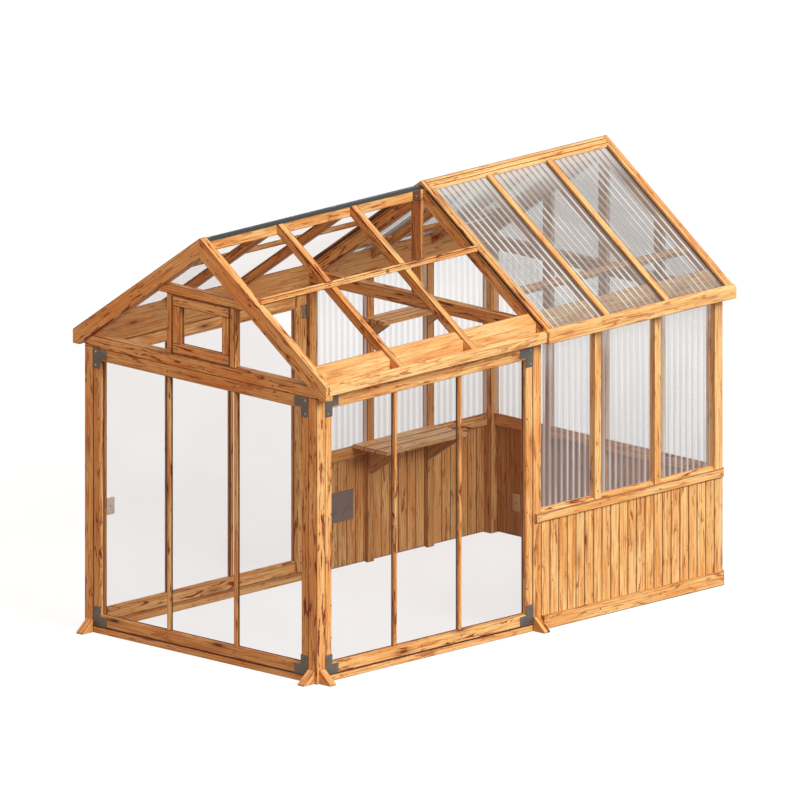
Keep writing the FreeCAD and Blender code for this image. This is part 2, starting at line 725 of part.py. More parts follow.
def make_panel(wall):
    turn, start, end, last_width, low, high = PANELS[wall]
    first = f"({start} + stile_width)"
    last = f"({end} - {last_width})"
    rail_low = f"({low} + bottom_rail_height)"
    rail_high = f"({high} - top_rail_height)"
    name = f"panel_{wall}"
    frame = [
        plan_prism(f"{name}_stile_first", turn, stile_section(start, first, "1"), low, high),
        plan_prism(f"{name}_stile_last", turn, stile_section(end, last, "-1"), low, high),
        wall_prism(f"{name}_bottom_rail", wall, rail_section(low, rail_low, "1"), first, last),
        wall_prism(f"{name}_top_rail", wall, rail_section(high, rail_high, "-1"), first, last),
    ]
    centres = bar_places(wall)
    for number, centre in enumerate(centres, 1):
        half = "bar_width/2"
        points = [(f"{centre} - {half} + moulding_width", "bar_recess"),
                  (f"{centre} + {half} - moulding_width", "bar_recess"),
                  (f"{centre} + {half}", "bar_recess + moulding_width"),
                  (f"{centre} + {half}", "glass_recess"),
                  (f"{centre} + bar_tongue/2", "glass_recess"),
                  (f"{centre} + bar_tongue/2", "glass_recess + pane_thick"),
                  (f"{centre} - bar_tongue/2", "glass_recess + pane_thick"),
                  (f"{centre} - bar_tongue/2", "glass_recess"), (f"{centre} - {half}", "glass_recess"),
                  (f"{centre} - {half}", "bar_recess + moulding_width")]
        frame.append(plan_prism(f"{name}_bar_{number}", turn, points, rail_low, rail_high))

    edges = [f"({first} - pane_lap + pane_slack)"]
    for centre in centres:
        edges.append(f"({centre} - bar_tongue/2 - pane_slack/2)")
        edges.append(f"({centre} + bar_tongue/2 + pane_slack/2)")
    edges.append(f"({last} + pane_lap - pane_slack)")
    panes = []
    for number in range(3):
        near, far = edges[2*number], edges[2*number + 1]
        points = [(near, "glass_recess"), (far, "glass_recess"),
                  (far, "(glass_recess + pane_thick)"), (near, "(glass_recess + pane_thick)")]
        panes.append(plan_prism(f"{name}_pane_{number + 1}", turn, points,
                                f"{rail_low} - pane_lap", f"{rail_high} + pane_lap - pane_slack"))

    back = "(glass_recess + pane_thick)"
    reach = "(bead_height - pane_lap)"
    inner_first = f"({first} + {reach})"
    inner_last = f"({last} - {reach})"

    def upright(label, outer, inner, sense):
        points = [(outer, back), (inner, back), (inner, "panel_thick - moulding_width"),
                  (f"({inner} - ({sense})*moulding_width)", "panel_thick"), (outer, "panel_thick")]
        return plan_prism(f"{name}_bead_{label}", turn, points,
                          f"{rail_low} - pane_lap", f"{rail_high} + pane_lap")

    def level(label, outer, inner, sense, from_place, to_place):
        points = [(back, outer), (back, inner), ("panel_thick - moulding_width", inner),
                  ("panel_thick", f"({inner} - ({sense})*moulding_width)"), ("panel_thick", outer)]
        return wall_prism(f"{name}_bead_{label}", wall, points, from_place, to_place)

    beads = [upright("first", f"({first} - pane_lap)", inner_first, "1"),
             upright("last", f"({last} + pane_lap)", inner_last, "-1"),
             level("bottom", f"({rail_low} - pane_lap)", f"({rail_low} + {reach})", "1",
                   inner_first, inner_last),
             level("top", f"({rail_high} + pane_lap)", f"({rail_high} - {reach})", "-1",
                   inner_first, inner_last)]
    for number, centre in enumerate(centres, 1):
        half = "bar_width/2"
        points = [(f"{centre} - {half}", back), (f"{centre} + {half}", back),
                  (f"{centre} + {half} - moulding_width", "panel_thick - moulding_width"),
                  (f"{centre} - {half} + moulding_width", "panel_thick - moulding_width")]
        beads.append(plan_prism(f"{name}_bead_bar_{number}", turn, points,
                                f"{rail_low} + {reach}", f"{rail_high} - {reach}"))
    return frame, panes, beads


def corner_bracket(name, wall, corner_along, sense_along, corner_up, sense_up):
    """A flat L plate on the outer face, one arm up the stile and one along the rail."""
    def spot(along, up):
        return f"({corner_along} + ({sense_along})*({along}))", f"({corner_up} + ({sense_up})*({up}))"

    corners = [("shadow_width", "shadow_width"), ("bracket_along", "shadow_width"),
               ("bracket_along", "bracket_along_width"), ("bracket_up_width", "bracket_along_width"),
               ("bracket_up_width", "bracket_up"), ("shadow_width", "bracket_up")]
    points = [spot(along, up) for along, up in corners]
    if wall == "front":
        return prism(name, "XZ_Plane", points, f"{FRONT} - bracket_thick", FRONT)
    if wall == "right":
        return prism(name, "YZ_Plane", points, SIDE, f"{SIDE} + bracket_thick")
    face = f"(-{SIDE} + door_stop_thick)"
    return prism(name, "YZ_Plane", points, f"{face} - bracket_thick", face)


def panel_corners(wall):
    turn, start, end, last_width, low, high = PANELS[wall]
    return [(start, "1", low, "1"), (end, "-1", low, "1"),
            (start, "1", high, "-1"), (end, "-1", high, "-1")]


def panel_brackets(wall):
    return [corner_bracket(f"bracket_{wall}_{number}", wall, *corner)
            for number, corner in enumerate(panel_corners(wall), 1)]


def make_fixed_panels():
    metal = []
    trims = []
    for wall in ("front", "right"):
        frame, panes, beads = make_panel(wall)
        keep(f"{wall}_panel_frame", group(f"{wall}_frame_group", frame))
        keep(f"{wall}_panel_glass", group(f"{wall}_glass_group", panes))
        trims += beads
        metal += panel_brackets(wall)
    keep("panel_beads", group("bead_group", trims))
    keep("corner_brackets", group("bracket_group", metal))


# Door: the same kind of panel, on three hinges at the junction post


def rounded_plate(name, plane, low_corner, high_corner, low, high, corner):
    """A thin plate whose four corners are rounded by two flats each."""
    arc = f"({CORNER_SHARE}*{corner})"
    left, bottom = low_corner
    right, top = high_corner
    points = [(f"{left} + {corner}", bottom), (f"{right} - {corner}", bottom),
              (f"{right} - {arc}", f"{bottom} + {arc}"),
              (right, f"{bottom} + {corner}"), (right, f"{top} - {corner}"),
              (f"{right} - {arc}", f"{top} - {arc}"),
              (f"{right} - {corner}", top), (f"{left} + {corner}", top),
              (f"{left} + {arc}", f"{top} - {arc}"),
              (left, f"{top} - {corner}"), (left, f"{bottom} + {corner}"),
              (f"{left} + {arc}", f"{bottom} + {arc}")]
    return prism(name, plane, points, low, high)


def turned_knob(face, along):
    """The pull outside the glass: bolt, foot, neck and head turned in one round."""
    body = document.addObject("PartDesign::Body", "knob_turning")
    head = "(-knob_length)"
    shoulder = "(-knob_length + knob_head_length)"
    outline = [("pane_thick", "0"), ("pane_thick", "handle_bolt_radius"), ("0", "handle_bolt_radius"),
               ("0", "knob_foot_radius"), ("-knob_foot_thick", "knob_foot_radius"),
               ("-knob_foot_thick", "knob_neck_radius"), (shoulder, "knob_neck_radius"),
               (shoulder, "knob_radius"), (head, "knob_radius"), (head, "0")]
    sketch = profile_sketch(body, "knob_profile", "XZ_Plane", outline, "0")
    turning = body.newObject("PartDesign::Revolution", "knob_round")
    turning.Profile = sketch
    turning.ReferenceAxis = (sketch, ["H_Axis"])
    turning.Angle = 360
    body.Tip = turning
    bind(body, "Placement.Base.x", face)
    bind(body, "Placement.Base.y", along)
    bind(body, "Placement.Base.z", "handle_height")
    return body


def make_door():
    frame, panes, beads = make_panel("door")
    keep("door_frame", group("door_frame_group", frame))
    keep("door_brackets", group("door_bracket_group", panel_brackets("door")))
    keep("door_beads", group("door_bead_group", beads))

    turn, start, end, last_width, low, high = PANELS["door"]
    glass_out = f"(-{SIDE} + door_stop_thick + glass_recess)"
    glass_in = f"({glass_out} + pane_thick)"
    along = f"({start} + handle_place)"
    hole = rod("handle_hole", "x", (along, "handle_height"), f"{glass_out} - pane_thick",
               f"{glass_in} + pane_thick", "handle_bolt_radius")
    keep("door_glass", cut("door_glass_drilled", group("door_glass_group", panes), hole))

    half_wide = "handle_plate_width/2"
    half_high = "handle_plate_height/2"
    lowest = (f"({along} - {half_wide})", f"(handle_height - {half_high})")
    highest = (f"({along} + {half_wide})", f"(handle_height + {half_high})")
    keep("door_latch_plate", rounded_plate("latch_plate", "YZ_Plane", lowest, highest, glass_in,
                                           f"{glass_in} + handle_plate_thick", "handle_plate_corner"))
    keep("door_knob", turned_knob(glass_out, along))

    clear = "(bracket_up + bracket_gap)"
    keep("door_stop", box("door_stop_strip", (f"-{SIDE}", f"-{SIDE} + door_stop_thick - door_stop_gap"),
                          (FRONT_IN, f"{FRONT_IN} + door_stop_width"),
                          (f"{low} + {clear}", f"{high} - {clear}")))
    make_hinges(end)


def make_hinges(stile_edge):
    """Three hinges: one leaf on the inside of the stile, the other on the side of the post."""
    inside = f"(-{SIDE} + door_stop_thick + panel_thick)"
    axis_x = f"({inside} + knuckle_radius + knuckle_gap)"
    axis_y = stile_edge
    door_leaves = []
    post_leaves = []
    heights = ("(sill_height + hinge_sill_distance)", "hinge_middle_height",
               "(post_height - hinge_top_distance)")
    for number, middle in enumerate(heights, 1):
        low = f"({middle} - hinge_height/2)"
        high = f"({middle} + hinge_height/2)"
        inner_low = f"({middle} - hinge_height/6)"
        inner_high = f"({middle} + hinge_height/6)"
        centre = (axis_x, axis_y)
        bore = "hinge_pin_radius + hinge_pin_clearance"

        leaf = box(f"door_leaf_{number}", (inside, f"{inside} + hinge_leaf_thick"),
                   (f"{axis_y} - hinge_leaf_width", axis_y),
                   (f"{inner_low} + knuckle_gap", f"{inner_high} - knuckle_gap"))
        plate = box(f"door_plate_{number}", (inside, f"{inside} + hinge_leaf_thick"),
                    (f"{axis_y} - hinge_leaf_width", f"{axis_y} - knuckle_radius - knuckle_gap"),
                    (low, high))
        barrel = rod(f"door_barrel_{number}", "z", centre, f"{inner_low} + knuckle_gap",
                     f"{inner_high} - knuckle_gap", "knuckle_radius")
        hole = rod(f"door_bore_{number}", "z", centre, low, high, bore)
        door_leaves.append(cut(f"door_hinge_{number}",
                               fuse(f"door_hinge_blank_{number}", [leaf, plate, barrel]), hole))

        face = JUNCTION_FRONT
        barrels = [rod(f"post_barrel_low_{number}", "z", centre, low, inner_low, "knuckle_radius"),
                   rod(f"post_barrel_high_{number}", "z", centre, inner_high, high, "knuckle_radius")]
        leaf = box(f"post_leaf_{number}", (f"{axis_x} - post_leaf_width", axis_x),
                   (f"{face} - hinge_leaf_thick", face), (low, high))
        sweep = rod(f"post_clear_{number}", "z", centre, inner_low, inner_high,
                    "knuckle_radius + knuckle_gap")
        blank = fuse(f"post_leaf_blank_{number}", barrels + [leaf])
        notched = cut(f"post_leaf_notched_{number}", blank, sweep)
        pin = rod(f"hinge_pin_{number}", "z", centre, inner_low, inner_high, "hinge_pin_radius")
        post_leaves.append(fuse(f"post_hinge_{number}", [notched, pin]))
    keep("door_hinge_leaves", group("door_leaf_group", door_leaves))
    keep("post_hinge_leaves", group("post_leaf_group", post_leaves))


# Front gable: collar, vent and fixed panes


def make_gable():
    back = f"({FRONT} + vent_surround_thick)"
    under = front_roof("0", GABLE_DROP)
    collar_top = f"({COLLAR_LOW} + collar_height)"
    reach_low = f"(({under} - {COLLAR_LOW})/{TAN})"
    reach_high = f"(({under} - {collar_top})/{TAN})"
    collar = prism("gable_collar_timber", "XZ_Plane",
                   [(f"-{reach_low}", COLLAR_LOW), (reach_low, COLLAR_LOW),
                    (reach_high, collar_top), (f"-{reach_high}", collar_top)], FRONT, back)
    keep("gable_collar", collar)

    opening = "(vent_opening_width/2)"
    outer = f"({opening} + vent_post_width)"
    side_post = box("vent_post_blank", (opening, outer), (FRONT, back), (TIE_TOP, COLLAR_LOW))
    pivot_y = f"({FRONT} + pivot_set_back)"
    sash_top = f"({COLLAR_LOW} - vent_gap)"
    pivot_z = f"({sash_top} - pivot_set_down)"
    hole = rod("pivot_hole", "x", (pivot_y, pivot_z), opening,
               f"{opening} + pivot_engage + pivot_clearance", "pivot_radius + pivot_clearance")
    keep("vent_posts", both_sides("vent_post_pair", cut("vent_post_drilled", side_post, hole)))

    edge = f"({opening} - vent_gap)"
    low = f"({TIE_TOP} + vent_gap)"
    inner = f"({edge} - sash_member)"
    sash_back = f"({FRONT} + sash_thick)"
    pane_front = f"({FRONT} + glass_recess)"
    pane_back = f"({pane_front} + pane_thick)"
    rails = [box("sash_top_rail", (f"-{edge}", edge), (FRONT, sash_back),
                 (f"{sash_top} - sash_member", sash_top)),
             box("sash_bottom_rail", (f"-{edge}", edge), (FRONT, sash_back),
                 (low, f"{low} + sash_member")),
             box("sash_stile_right", (inner, edge), (FRONT, sash_back),
                 (f"{low} + sash_member", f"{sash_top} - sash_member")),
             box("sash_stile_left", (f"-{edge}", f"-{inner}"), (FRONT, sash_back),
                 (f"{low} + sash_member", f"{sash_top} - sash_member"))]
    lap = "sash_lap"
    rebate = box("sash_rebate", (f"-{inner} - {lap}", f"{inner} + {lap}"), (pane_front, pane_back),
                 (f"{low} + sash_member - {lap}", f"{sash_top} - sash_member + {lap}"))
    pin_hole = rod("sash_pin_hole", "x", (pivot_y, pivot_z), f"{edge} - pivot_engage",
                   f"{edge} + pivot_engage", "pivot_radius")
    holes = both_sides("sash_pin_holes", pin_hole)
    tool = group("sash_tools", [rebate, holes])
    keep("vent_sash", cut("sash_worked", group("sash_blank", rails), tool))
    keep("vent_glass", box("vent_pane", (f"-{inner} - {lap}", f"{inner} + {lap}"), (pane_front, pane_back),
                           (f"{low} + sash_member - {lap}", f"{sash_top} - sash_member + {lap}")))
    pivot = rod("vent_pivot", "x", (pivot_y, pivot_z), f"{edge} - pivot_engage",
                f"{opening} + pivot_engage", "pivot_radius")
    keep("vent_pivots", both_sides("vent_pivot_pair", pivot))

    pane_y = f"({FRONT} + gable_pane_set_back)"
    pane_end = f"({pane_y} + pane_thick)"
    low_reach = f"(({under} - {TIE_TOP})/{TAN})"
    side_pane = prism("gable_pane_side", "XZ_Plane",
                      [(outer, TIE_TOP), (low_reach, TIE_TOP), (reach_low, COLLAR_LOW),
                       (outer, COLLAR_LOW)], pane_y, pane_end)
    top_pane = prism("gable_pane_top", "XZ_Plane",
                     [(f"-{reach_high}", collar_top), (reach_high, collar_top), ("0", under)],
                     pane_y, pane_end)
    keep("gable_glass", group("gable_glass_group", [both_sides("gable_side_panes", side_pane), top_pane]))


# Corrugated sheets


# Where a wave that starts in its trough reaches its crest, as a share of the wave
WAVE_RISE = 0.32


def wave_sheet(name, start, width, waves, length):
    """A clear sheet along local X: one flat-topped wave across local Y, padded and repeated."""
    body = document.addObject("PartDesign::Body", name)
    pitch = f"(({width})/{waves})"
    low = "0"
    high = "(sheet_depth - sheet_skin)"
    steps = [(0, low), (WAVE_RISE, high), (1 - WAVE_RISE, high), (1, low)]
    under = [(f"({start} + {share}*{pitch})", height) for share, height in steps]
    over = [(place, f"({height} + sheet_skin)") for place, height in reversed(under)]
    sketch = profile_sketch(body, name + "_wave", "YZ_Plane", under + over, "0")
    pad = body.newObject("PartDesign::Pad", name + "_pad")
    pad.Profile = sketch
    bind(pad, "Length", length)
    row = body.newObject("PartDesign::LinearPattern", name + "_row")
    row.Originals = [pad]
    across = [item for item in body.Origin.OriginFeatures if item.Role == "Y_Axis"][0]
    row.Direction = (across, [""])
    bind(row, "Length", f"({width}) - {pitch}")
    row.Occurrences = waves
    body.Tip = row
    return body


def wall_bays():
    """Front and rear places of the three window bays in a side wall."""
    return [(JUNCTION_REAR, STUD_ONE), (f"({STUD_ONE} + stud_width)", STUD_TWO),
            (f"({STUD_TWO} + stud_width)", REAR_IN)]


def rear_bays():
    """Left and right places of the window bays in the rear wall."""
    studs = count("rear_stud_count")
    clear = f"((2*{SIDE_IN} - {studs}*stud_width)/{studs + 1})"
    return [(f"(-{SIDE_IN} + {place}*({clear} + stud_width))",
             f"(-{SIDE_IN} + {place}*({clear} + stud_width) + {clear})") for place in range(studs + 1)]


def stand_up(sheet_body, outer, inward):
    """Turn a sheet so that its length rises and its waves face out of a wall."""
    spin = FreeCAD.Rotation(FreeCAD.Vector(0, 0, 1), 90) if inward == "y" else FreeCAD.Rotation()
    tilt = FreeCAD.Rotation(FreeCAD.Vector(0, 1, 0), -90)
    sheet_body.Placement = FreeCAD.Placement(FreeCAD.Vector(), spin.multiply(tilt))
    if inward == "y":
        bind(sheet_body, "Placement.Base.y", outer)
    else:
        bind(sheet_body, "Placement.Base.x", outer)
    bind(sheet_body, "Placement.Base.z", SILL_TOP)
    return sheet_body


def make_sheets():
    height = f"(post_height - {SILL_TOP})"
    sides = []
    for number, (low, high) in enumerate(wall_bays(), 1):
        flat = wave_sheet(f"window_side_{number}", f"({low} + sheet_gap)",
                          f"({high} - {low} - 2*sheet_gap)",
                          count("wall_wave_count"), height)
        sides.append(stand_up(flat, f"{SIDE} - sheet_recess", "x"))
    side_sheets = both_sides("side_sheet_group", group("side_sheets_right", sides))
    rears = []
    for number, (low, high) in enumerate(rear_bays(), 1):
        flat = wave_sheet(f"window_rear_{number}", f"(-({high}) + sheet_gap)",
                          f"({high} - {low} - 2*sheet_gap)", count("rear_wave_count"), height)
        rears.append(stand_up(flat, f"{REAR} - sheet_recess", "y"))
    keep("window_sheets", group("window_sheet_group", [side_sheets] + rears))

    start = "sheet_gap"
    end = f"({REAR_TAIL} - sheet_eaves_gap)"
    length = f"(({end} - {start})/{COS})"
    edges = [JUNCTION_STEP, f"({STUD_ONE} + stud_width/2)", f"({STUD_TWO} + stud_width/2)", REAR_STEP]
    slope = []
    for number in range(3):
        low, high = edges[number], edges[number + 1]
        flat = wave_sheet(f"roof_sheet_{number + 1}", f"({low} + sheet_gap)",
                          f"({high} - {low} - 2*sheet_gap)", count("roof_wave_count"), length)
        lean = FreeCAD.Rotation(FreeCAD.Vector(0, 1, 0), count("roof_pitch"))
        flat.Placement = FreeCAD.Placement(FreeCAD.Vector(), lean)
        bind(flat, "Placement.Rotation.Angle", "roof_pitch")
        bind(flat, "Placement.Base.x", start)
        bind(flat, "Placement.Base.z", rear_roof(start, SHEET_DROP))
        slope.append(flat)
    keep("roof_sheets", both_sides("roof_sheet_group", group("roof_sheets_right", slope)))


# Boarded walls of the rear module


def board_row(name, start, width, boards, place):
    """Boards side by side, each with a pointed tongue; place turns (along, inward) into the plan."""
    pitch = f"(({width})/{boards})"
    row = []
    for number in range(boards):
        low = f"({start} + {number}*{pitch})"
        high = f"({start} + {number + 1}*{pitch} - board_gap)"
        mid = "board_thick/2"
        half = "board_tongue/2"
        first = number == 0
        last = number == boards - 1
        points = [(f"({low} + board_bevel)", "0"), (f"({high} - board_bevel)", "0"),
                  (high, "board_bevel")]
        if not last:
            points += [(high, f"({mid} - {half})"), (f"({high} + board_tongue_depth)", mid),
                       (high, f"({mid} + {half})")]
        points += [(high, "board_thick"), (low, "board_thick")]
        if not first:
            wide = f"({half} + board_gap/2)"
            points += [(low, f"({mid} + {wide})"), (f"({low} + board_tongue_depth)", mid),
                       (low, f"({mid} - {wide})")]
        points.append((low, "board_bevel"))
        plan = [place(along, inward) for along, inward in points]
        row.append(prism(f"{name}_{number + 1}", "XY_Plane", plan, "board_ground_gap", "window_sill_level"))
    return row


def make_boards():
    def side_place(along, inward):
        return f"{SIDE} - ({inward})", along

    def rear_place(along, inward):
        return along, f"{REAR} - ({inward})"

    side = board_row("side_board", JUNCTION_REAR, f"{REAR_IN} - {JUNCTION_REAR}",
                     count("side_board_count"), side_place)
    right = group("side_boards_right", side)
    keep("wall_boards_right", right)
    keep("wall_boards_left", mirrored("side_boards_left", right))
    rear = board_row("rear_board", f"-{SIDE_IN}", f"2*{SIDE_IN}",
                     count("rear_board_count"), rear_place)
    keep("wall_boards_rear", group("rear_board_group", rear))


def make_studs():
    """Full-height studs, rebated on the outside below the sill to take the boards."""
    inner = f"({SIDE} - stud_depth)"
    studs = []
    for number, low in enumerate((STUD_ONE, STUD_TWO), 1):
        points = [(inner, "0"), (f"({SIDE} - board_thick)", "0"),
                  (f"({SIDE} - board_thick)", "window_sill_level"), (SIDE, "window_sill_level"),
                  (SIDE, "post_height"), (inner, "post_height")]
        studs.append(prism(f"side_stud_{number}", "XZ_Plane", points, low, f"{low} + stud_width"))
    side_studs = both_sides("side_stud_group", group("side_studs_right", studs))
    bays = rear_bays()
    rears = []
    face = f"({REAR} - stud_depth)"
    for number, (low, high) in enumerate(bays[:-1], 1):
        points = [(face, "0"), (f"({REAR} - board_thick)", "0"),
                  (f"({REAR} - board_thick)", "window_sill_level"), (REAR, "window_sill_level"),
                  (REAR, "post_height"), (face, "post_height")]
        rears.append(prism(f"rear_stud_{number}", "YZ_Plane", points, high, f"{high} + stud_width"))
    keep("wall_studs", group("wall_stud_group", [side_studs] + rears))


def make_sills_and_ledges():
    """Window sill rails between the studs, and the ledge and skirting boards outside them."""
    def section(face, sense):
        inner = f"({face} - ({sense})*stud_depth)"
        return [(inner, "window_sill_level"), (face, "window_sill_level"),
                (face, f"({SILL_TOP} - window_sill_slope)"),
                (f"({face} - ({sense})*(sheet_recess - 1))", SILL_TOP), (inner, SILL_TOP)]

    side = [prism(f"window_sill_side_{number}", "XZ_Plane", section(SIDE, "1"), low, high)
            for number, (low, high) in enumerate(wall_bays(), 1)]
    side_sills = both_sides("side_sill_group", group("side_sills_right", side))
    rear = [prism(f"window_sill_rear_{number}", "YZ_Plane", section(REAR, "1"), low, high)
            for number, (low, high) in enumerate(rear_bays(), 1)]
    keep("window_sills", group("window_sill_group", [side_sills] + rear))

    def ledge(face):
        out = f"({face} + ledge_thick)"
        high = "(window_sill_level + ledge_height)"
        return [(face, "window_sill_level"), (f"({out} - ledge_bevel)", "window_sill_level"),
                (out, "(window_sill_level + ledge_bevel)"), (out, f"({high} - ledge_bevel)"),
                (f"({out} - ledge_bevel)", high), (face, high)]

    ledge_side = prism("ledge_side", "XZ_Plane", ledge(SIDE), f"{JUNCTION_REAR} - ledge_start",
                       f"{REAR} - ledge_end")
    ledge_rear = prism("ledge_rear", "YZ_Plane", ledge(REAR), f"-{SIDE} + ledge_end", f"{SIDE} - ledge_end")
    keep("ledge_rails", group("ledge_group", [both_sides("ledge_side_pair", ledge_side), ledge_rear]))

    def skirting(face):
        out = f"({face} + skirting_thick)"
        return [(face, "0"), (out, "0"), (out, "(skirting_height - skirting_bevel)"),
                (f"({out} - skirting_bevel/2)", "skirting_height"), (face, "skirting_height")]

    skirting_side = prism("skirting_side", "XZ_Plane", skirting(SIDE), JUNCTION_REAR, f"{REAR} - ledge_end")
    skirting_rear = prism("skirting_rear", "YZ_Plane", skirting(REAR), f"-{SIDE} + ledge_end",
                          f"{SIDE} - ledge_end")
    keep("skirting_boards", group("skirting_group", [both_sides("skirting_side_pair", skirting_side),
                                                     skirting_rear]))


def make_rear_gable():
    """Three short studs over the rear tie beam, with clear sheets cut to the slope between them."""
    under = rear_roof("0", GABLE_DROP)
    face = f"({REAR} - stud_depth)"
    edges = [f"-{SIDE_IN}"]
    studs = []
    for number, (low, high) in enumerate(rear_bays()[:-1], 1):
        right = f"({high} + stud_width)"
        top_low = f"({under} - abs({high})*{TAN})"
        top_high = f"({under} - abs({right})*{TAN})"
        points = [(high, TIE_TOP), (right, TIE_TOP), (right, top_high)]
        if 2*number == count("rear_stud_count") + 1:
            points.append(("0", under))
        points.append((high, top_low))
        studs.append(prism(f"gable_stud_{number}", "XZ_Plane", points, face, REAR))
        edges += [high, right]
    edges.append(SIDE_IN)
    keep("gable_studs_rear", group("gable_stud_group", studs))

    foot = f"(({under} - {TIE_TOP})/{TAN})"
    slope = prism("rear_gable_outline", "XZ_Plane", [(f"-{foot}", TIE_TOP), (foot, TIE_TOP), ("0", under)],
                  face, REAR)
    sheets = []
    for number in range(len(edges)//2):
        low, high = edges[2*number], edges[2*number + 1]
        flat = wave_sheet(f"gable_sheet_{number + 1}", f"(-({high}) + sheet_gap)",
                          f"({high} - {low} - 2*sheet_gap)", count("rear_wave_count"),
                          f"({under} - {TIE_TOP})")
        stand_up(flat, f"{REAR} - sheet_recess", "y")
        bind(flat, "Placement.Base.z", TIE_TOP)
        sheets.append(flat)
    clipped = document.addObject("Part::Common", "gable_sheets_clipped")
    clipped.Base = group("gable_sheets_uncut", sheets)
    clipped.Tool = slope
    keep("rear_gable_sheets", clipped)


# Shelves and cover plates inside


def make_shelf(name, front_reach, rear_reach, depth, level, drop):
    """Three slats along the left wall, the front one with a moulded edge, on two brackets.

    The reaches say how far the slats pass the two studs that carry them."""
    wall = f"(-{SIDE} + stud_depth)"
    first = f"({STUD_ONE} - {front_reach})"
    last = f"({STUD_TWO} + {rear_reach})"
    width = f"(({depth} - 2*slat_gap)/3)"
    low = f"({level} - slat_thick)"
    slats = []
    for number in range(3):
        near = f"({wall} + {number}*({width} + slat_gap))"
        far = f"({near} + {width})"
        points = [(near, low), (far, low), (far, level), (near, level)]
        if number == 2:
            points = [(near, low), (f"({far} - slat_moulding)", low), (f"({far} - slat_moulding)",
                      f"({low} + slat_moulding)"), (far, f"({level} - slat_moulding)"),
                      (f"({far} - slat_moulding/2)", level), (near, level)]
        slats.append(prism(f"{name}_slat_{number + 1}", "XZ_Plane", points, first, last))
    keep(name, group(f"{name}_group", slats))
    out = f"({wall} + {depth} - bracket_end_gap)"
    points = [(wall, f"({low} - {drop})"), (f"({wall} + shelf_bracket_toe)", f"({low} - {drop})"),
              (out, f"({low} - shelf_bracket_toe)"), (out, low), (wall, low)]
    brackets = []
    for number, near in enumerate((f"({STUD_ONE} + stud_width/2 - shelf_bracket_thick/2)", STUD_TWO), 1):
        brackets.append(prism(f"{name}_bracket_{number}", "XZ_Plane", points,
                              near, f"({near} + shelf_bracket_thick)"))
    return brackets


def make_inside():
    brackets = make_shelf("lower_shelf", "lower_shelf_front_reach", "lower_shelf_rear_reach",
                          "lower_shelf_depth", f"({SILL_TOP} + lower_shelf_rise)", "lower_bracket_drop")
    brackets += make_shelf("upper_shelf", "upper_shelf_front_reach", "upper_shelf_rear_reach",
                           "upper_shelf_depth", "(post_height - upper_shelf_drop)", "upper_bracket_drop")
    keep("shelf_brackets", group("shelf_bracket_group", brackets))

    wall = f"(-{SIDE} + board_thick)"
    last = f"({STUD_ONE} - grey_plate_stud_gap)"
    grey = box("grey_plate", (wall, f"{wall} + cover_plate_thick"), (f"{last} - grey_plate_width", last),
               ("grey_plate_bottom", "grey_plate_bottom + grey_plate_height"))
    face = f"({REAR} - board_thick)"
    left = f"(-{SIDE_IN} + pale_plate_start)"
    pale = rounded_plate("pale_plate", "XZ_Plane", (left, "pale_plate_bottom"),
                         (f"({left} + pale_plate_width)", "(pale_plate_bottom + pale_plate_height)"),
                         f"{face} - cover_plate_thick", face, "cover_plate_corner")
    keep("wall_cover_plates", group("cover_plate_group", [grey, pale]))


make_posts()
front_fascias = make_fascias()
groove_tools = make_roof_glass()
rafter_sets = make_rafters(groove_tools, front_fascias)
make_ridges()
make_beams(rafter_sets)
make_fixed_panels()
make_door()
make_gable()
make_sheets()
make_boards()
make_studs()
make_sills_and_ledges()
make_rear_gable()
make_inside()
document.recompute()

# Every object has to be built cleanly before anything is written
for item in document.Objects:
    if "Invalid" in item.State or "Error" in item.State:
        raise RuntimeError(f"{item.Name} did not build: {item.State}")
for item in sub_parts:
    if item.Shape.isNull() or not item.Shape.isValid() or not item.Shape.Solids:
        raise RuntimeError(f"{item.Label} has no valid shape")

os.makedirs("parts", exist_ok=True)
for item in sub_parts:
    item.Shape.exportStep(f"parts/{item.Label}.step")
    print(item.Label, len(item.Shape.Solids), "solids", round(item.Shape.Volume/1000), "cm3")
print(len(sub_parts), "sub-parts")
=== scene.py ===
# %% [markdown]
# # A wooden mini greenhouse
# The real object is a small walk-in house of oiled pine. Its front module is glazed with flat
# panes, and its rear module has boarded walls under corrugated windows. This lesson dresses the
# exact solids of the part: it softens the timber edges, gives every board its own grain, bends real
# waves into the corrugated sheets and drives the screws, then lights and frames the whole.

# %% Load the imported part
import json
import math
import random

import bmesh
import bpy
from mathutils import Matrix, Vector


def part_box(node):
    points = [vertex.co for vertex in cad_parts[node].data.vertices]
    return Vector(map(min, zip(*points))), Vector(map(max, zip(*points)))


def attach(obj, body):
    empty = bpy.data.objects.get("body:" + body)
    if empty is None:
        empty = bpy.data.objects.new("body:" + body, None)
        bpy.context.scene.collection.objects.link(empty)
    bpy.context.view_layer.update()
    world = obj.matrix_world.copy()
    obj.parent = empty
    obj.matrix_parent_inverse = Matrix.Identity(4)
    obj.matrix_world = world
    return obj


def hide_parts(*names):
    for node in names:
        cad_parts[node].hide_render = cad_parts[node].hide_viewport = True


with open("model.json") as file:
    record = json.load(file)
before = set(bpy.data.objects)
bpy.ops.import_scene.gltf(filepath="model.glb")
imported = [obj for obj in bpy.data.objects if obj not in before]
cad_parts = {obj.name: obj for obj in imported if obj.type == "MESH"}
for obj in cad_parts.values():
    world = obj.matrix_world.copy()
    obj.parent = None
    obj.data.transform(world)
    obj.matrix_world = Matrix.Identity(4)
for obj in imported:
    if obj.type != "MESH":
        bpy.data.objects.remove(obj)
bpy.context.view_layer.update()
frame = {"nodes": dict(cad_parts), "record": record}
nodes = frame["nodes"]

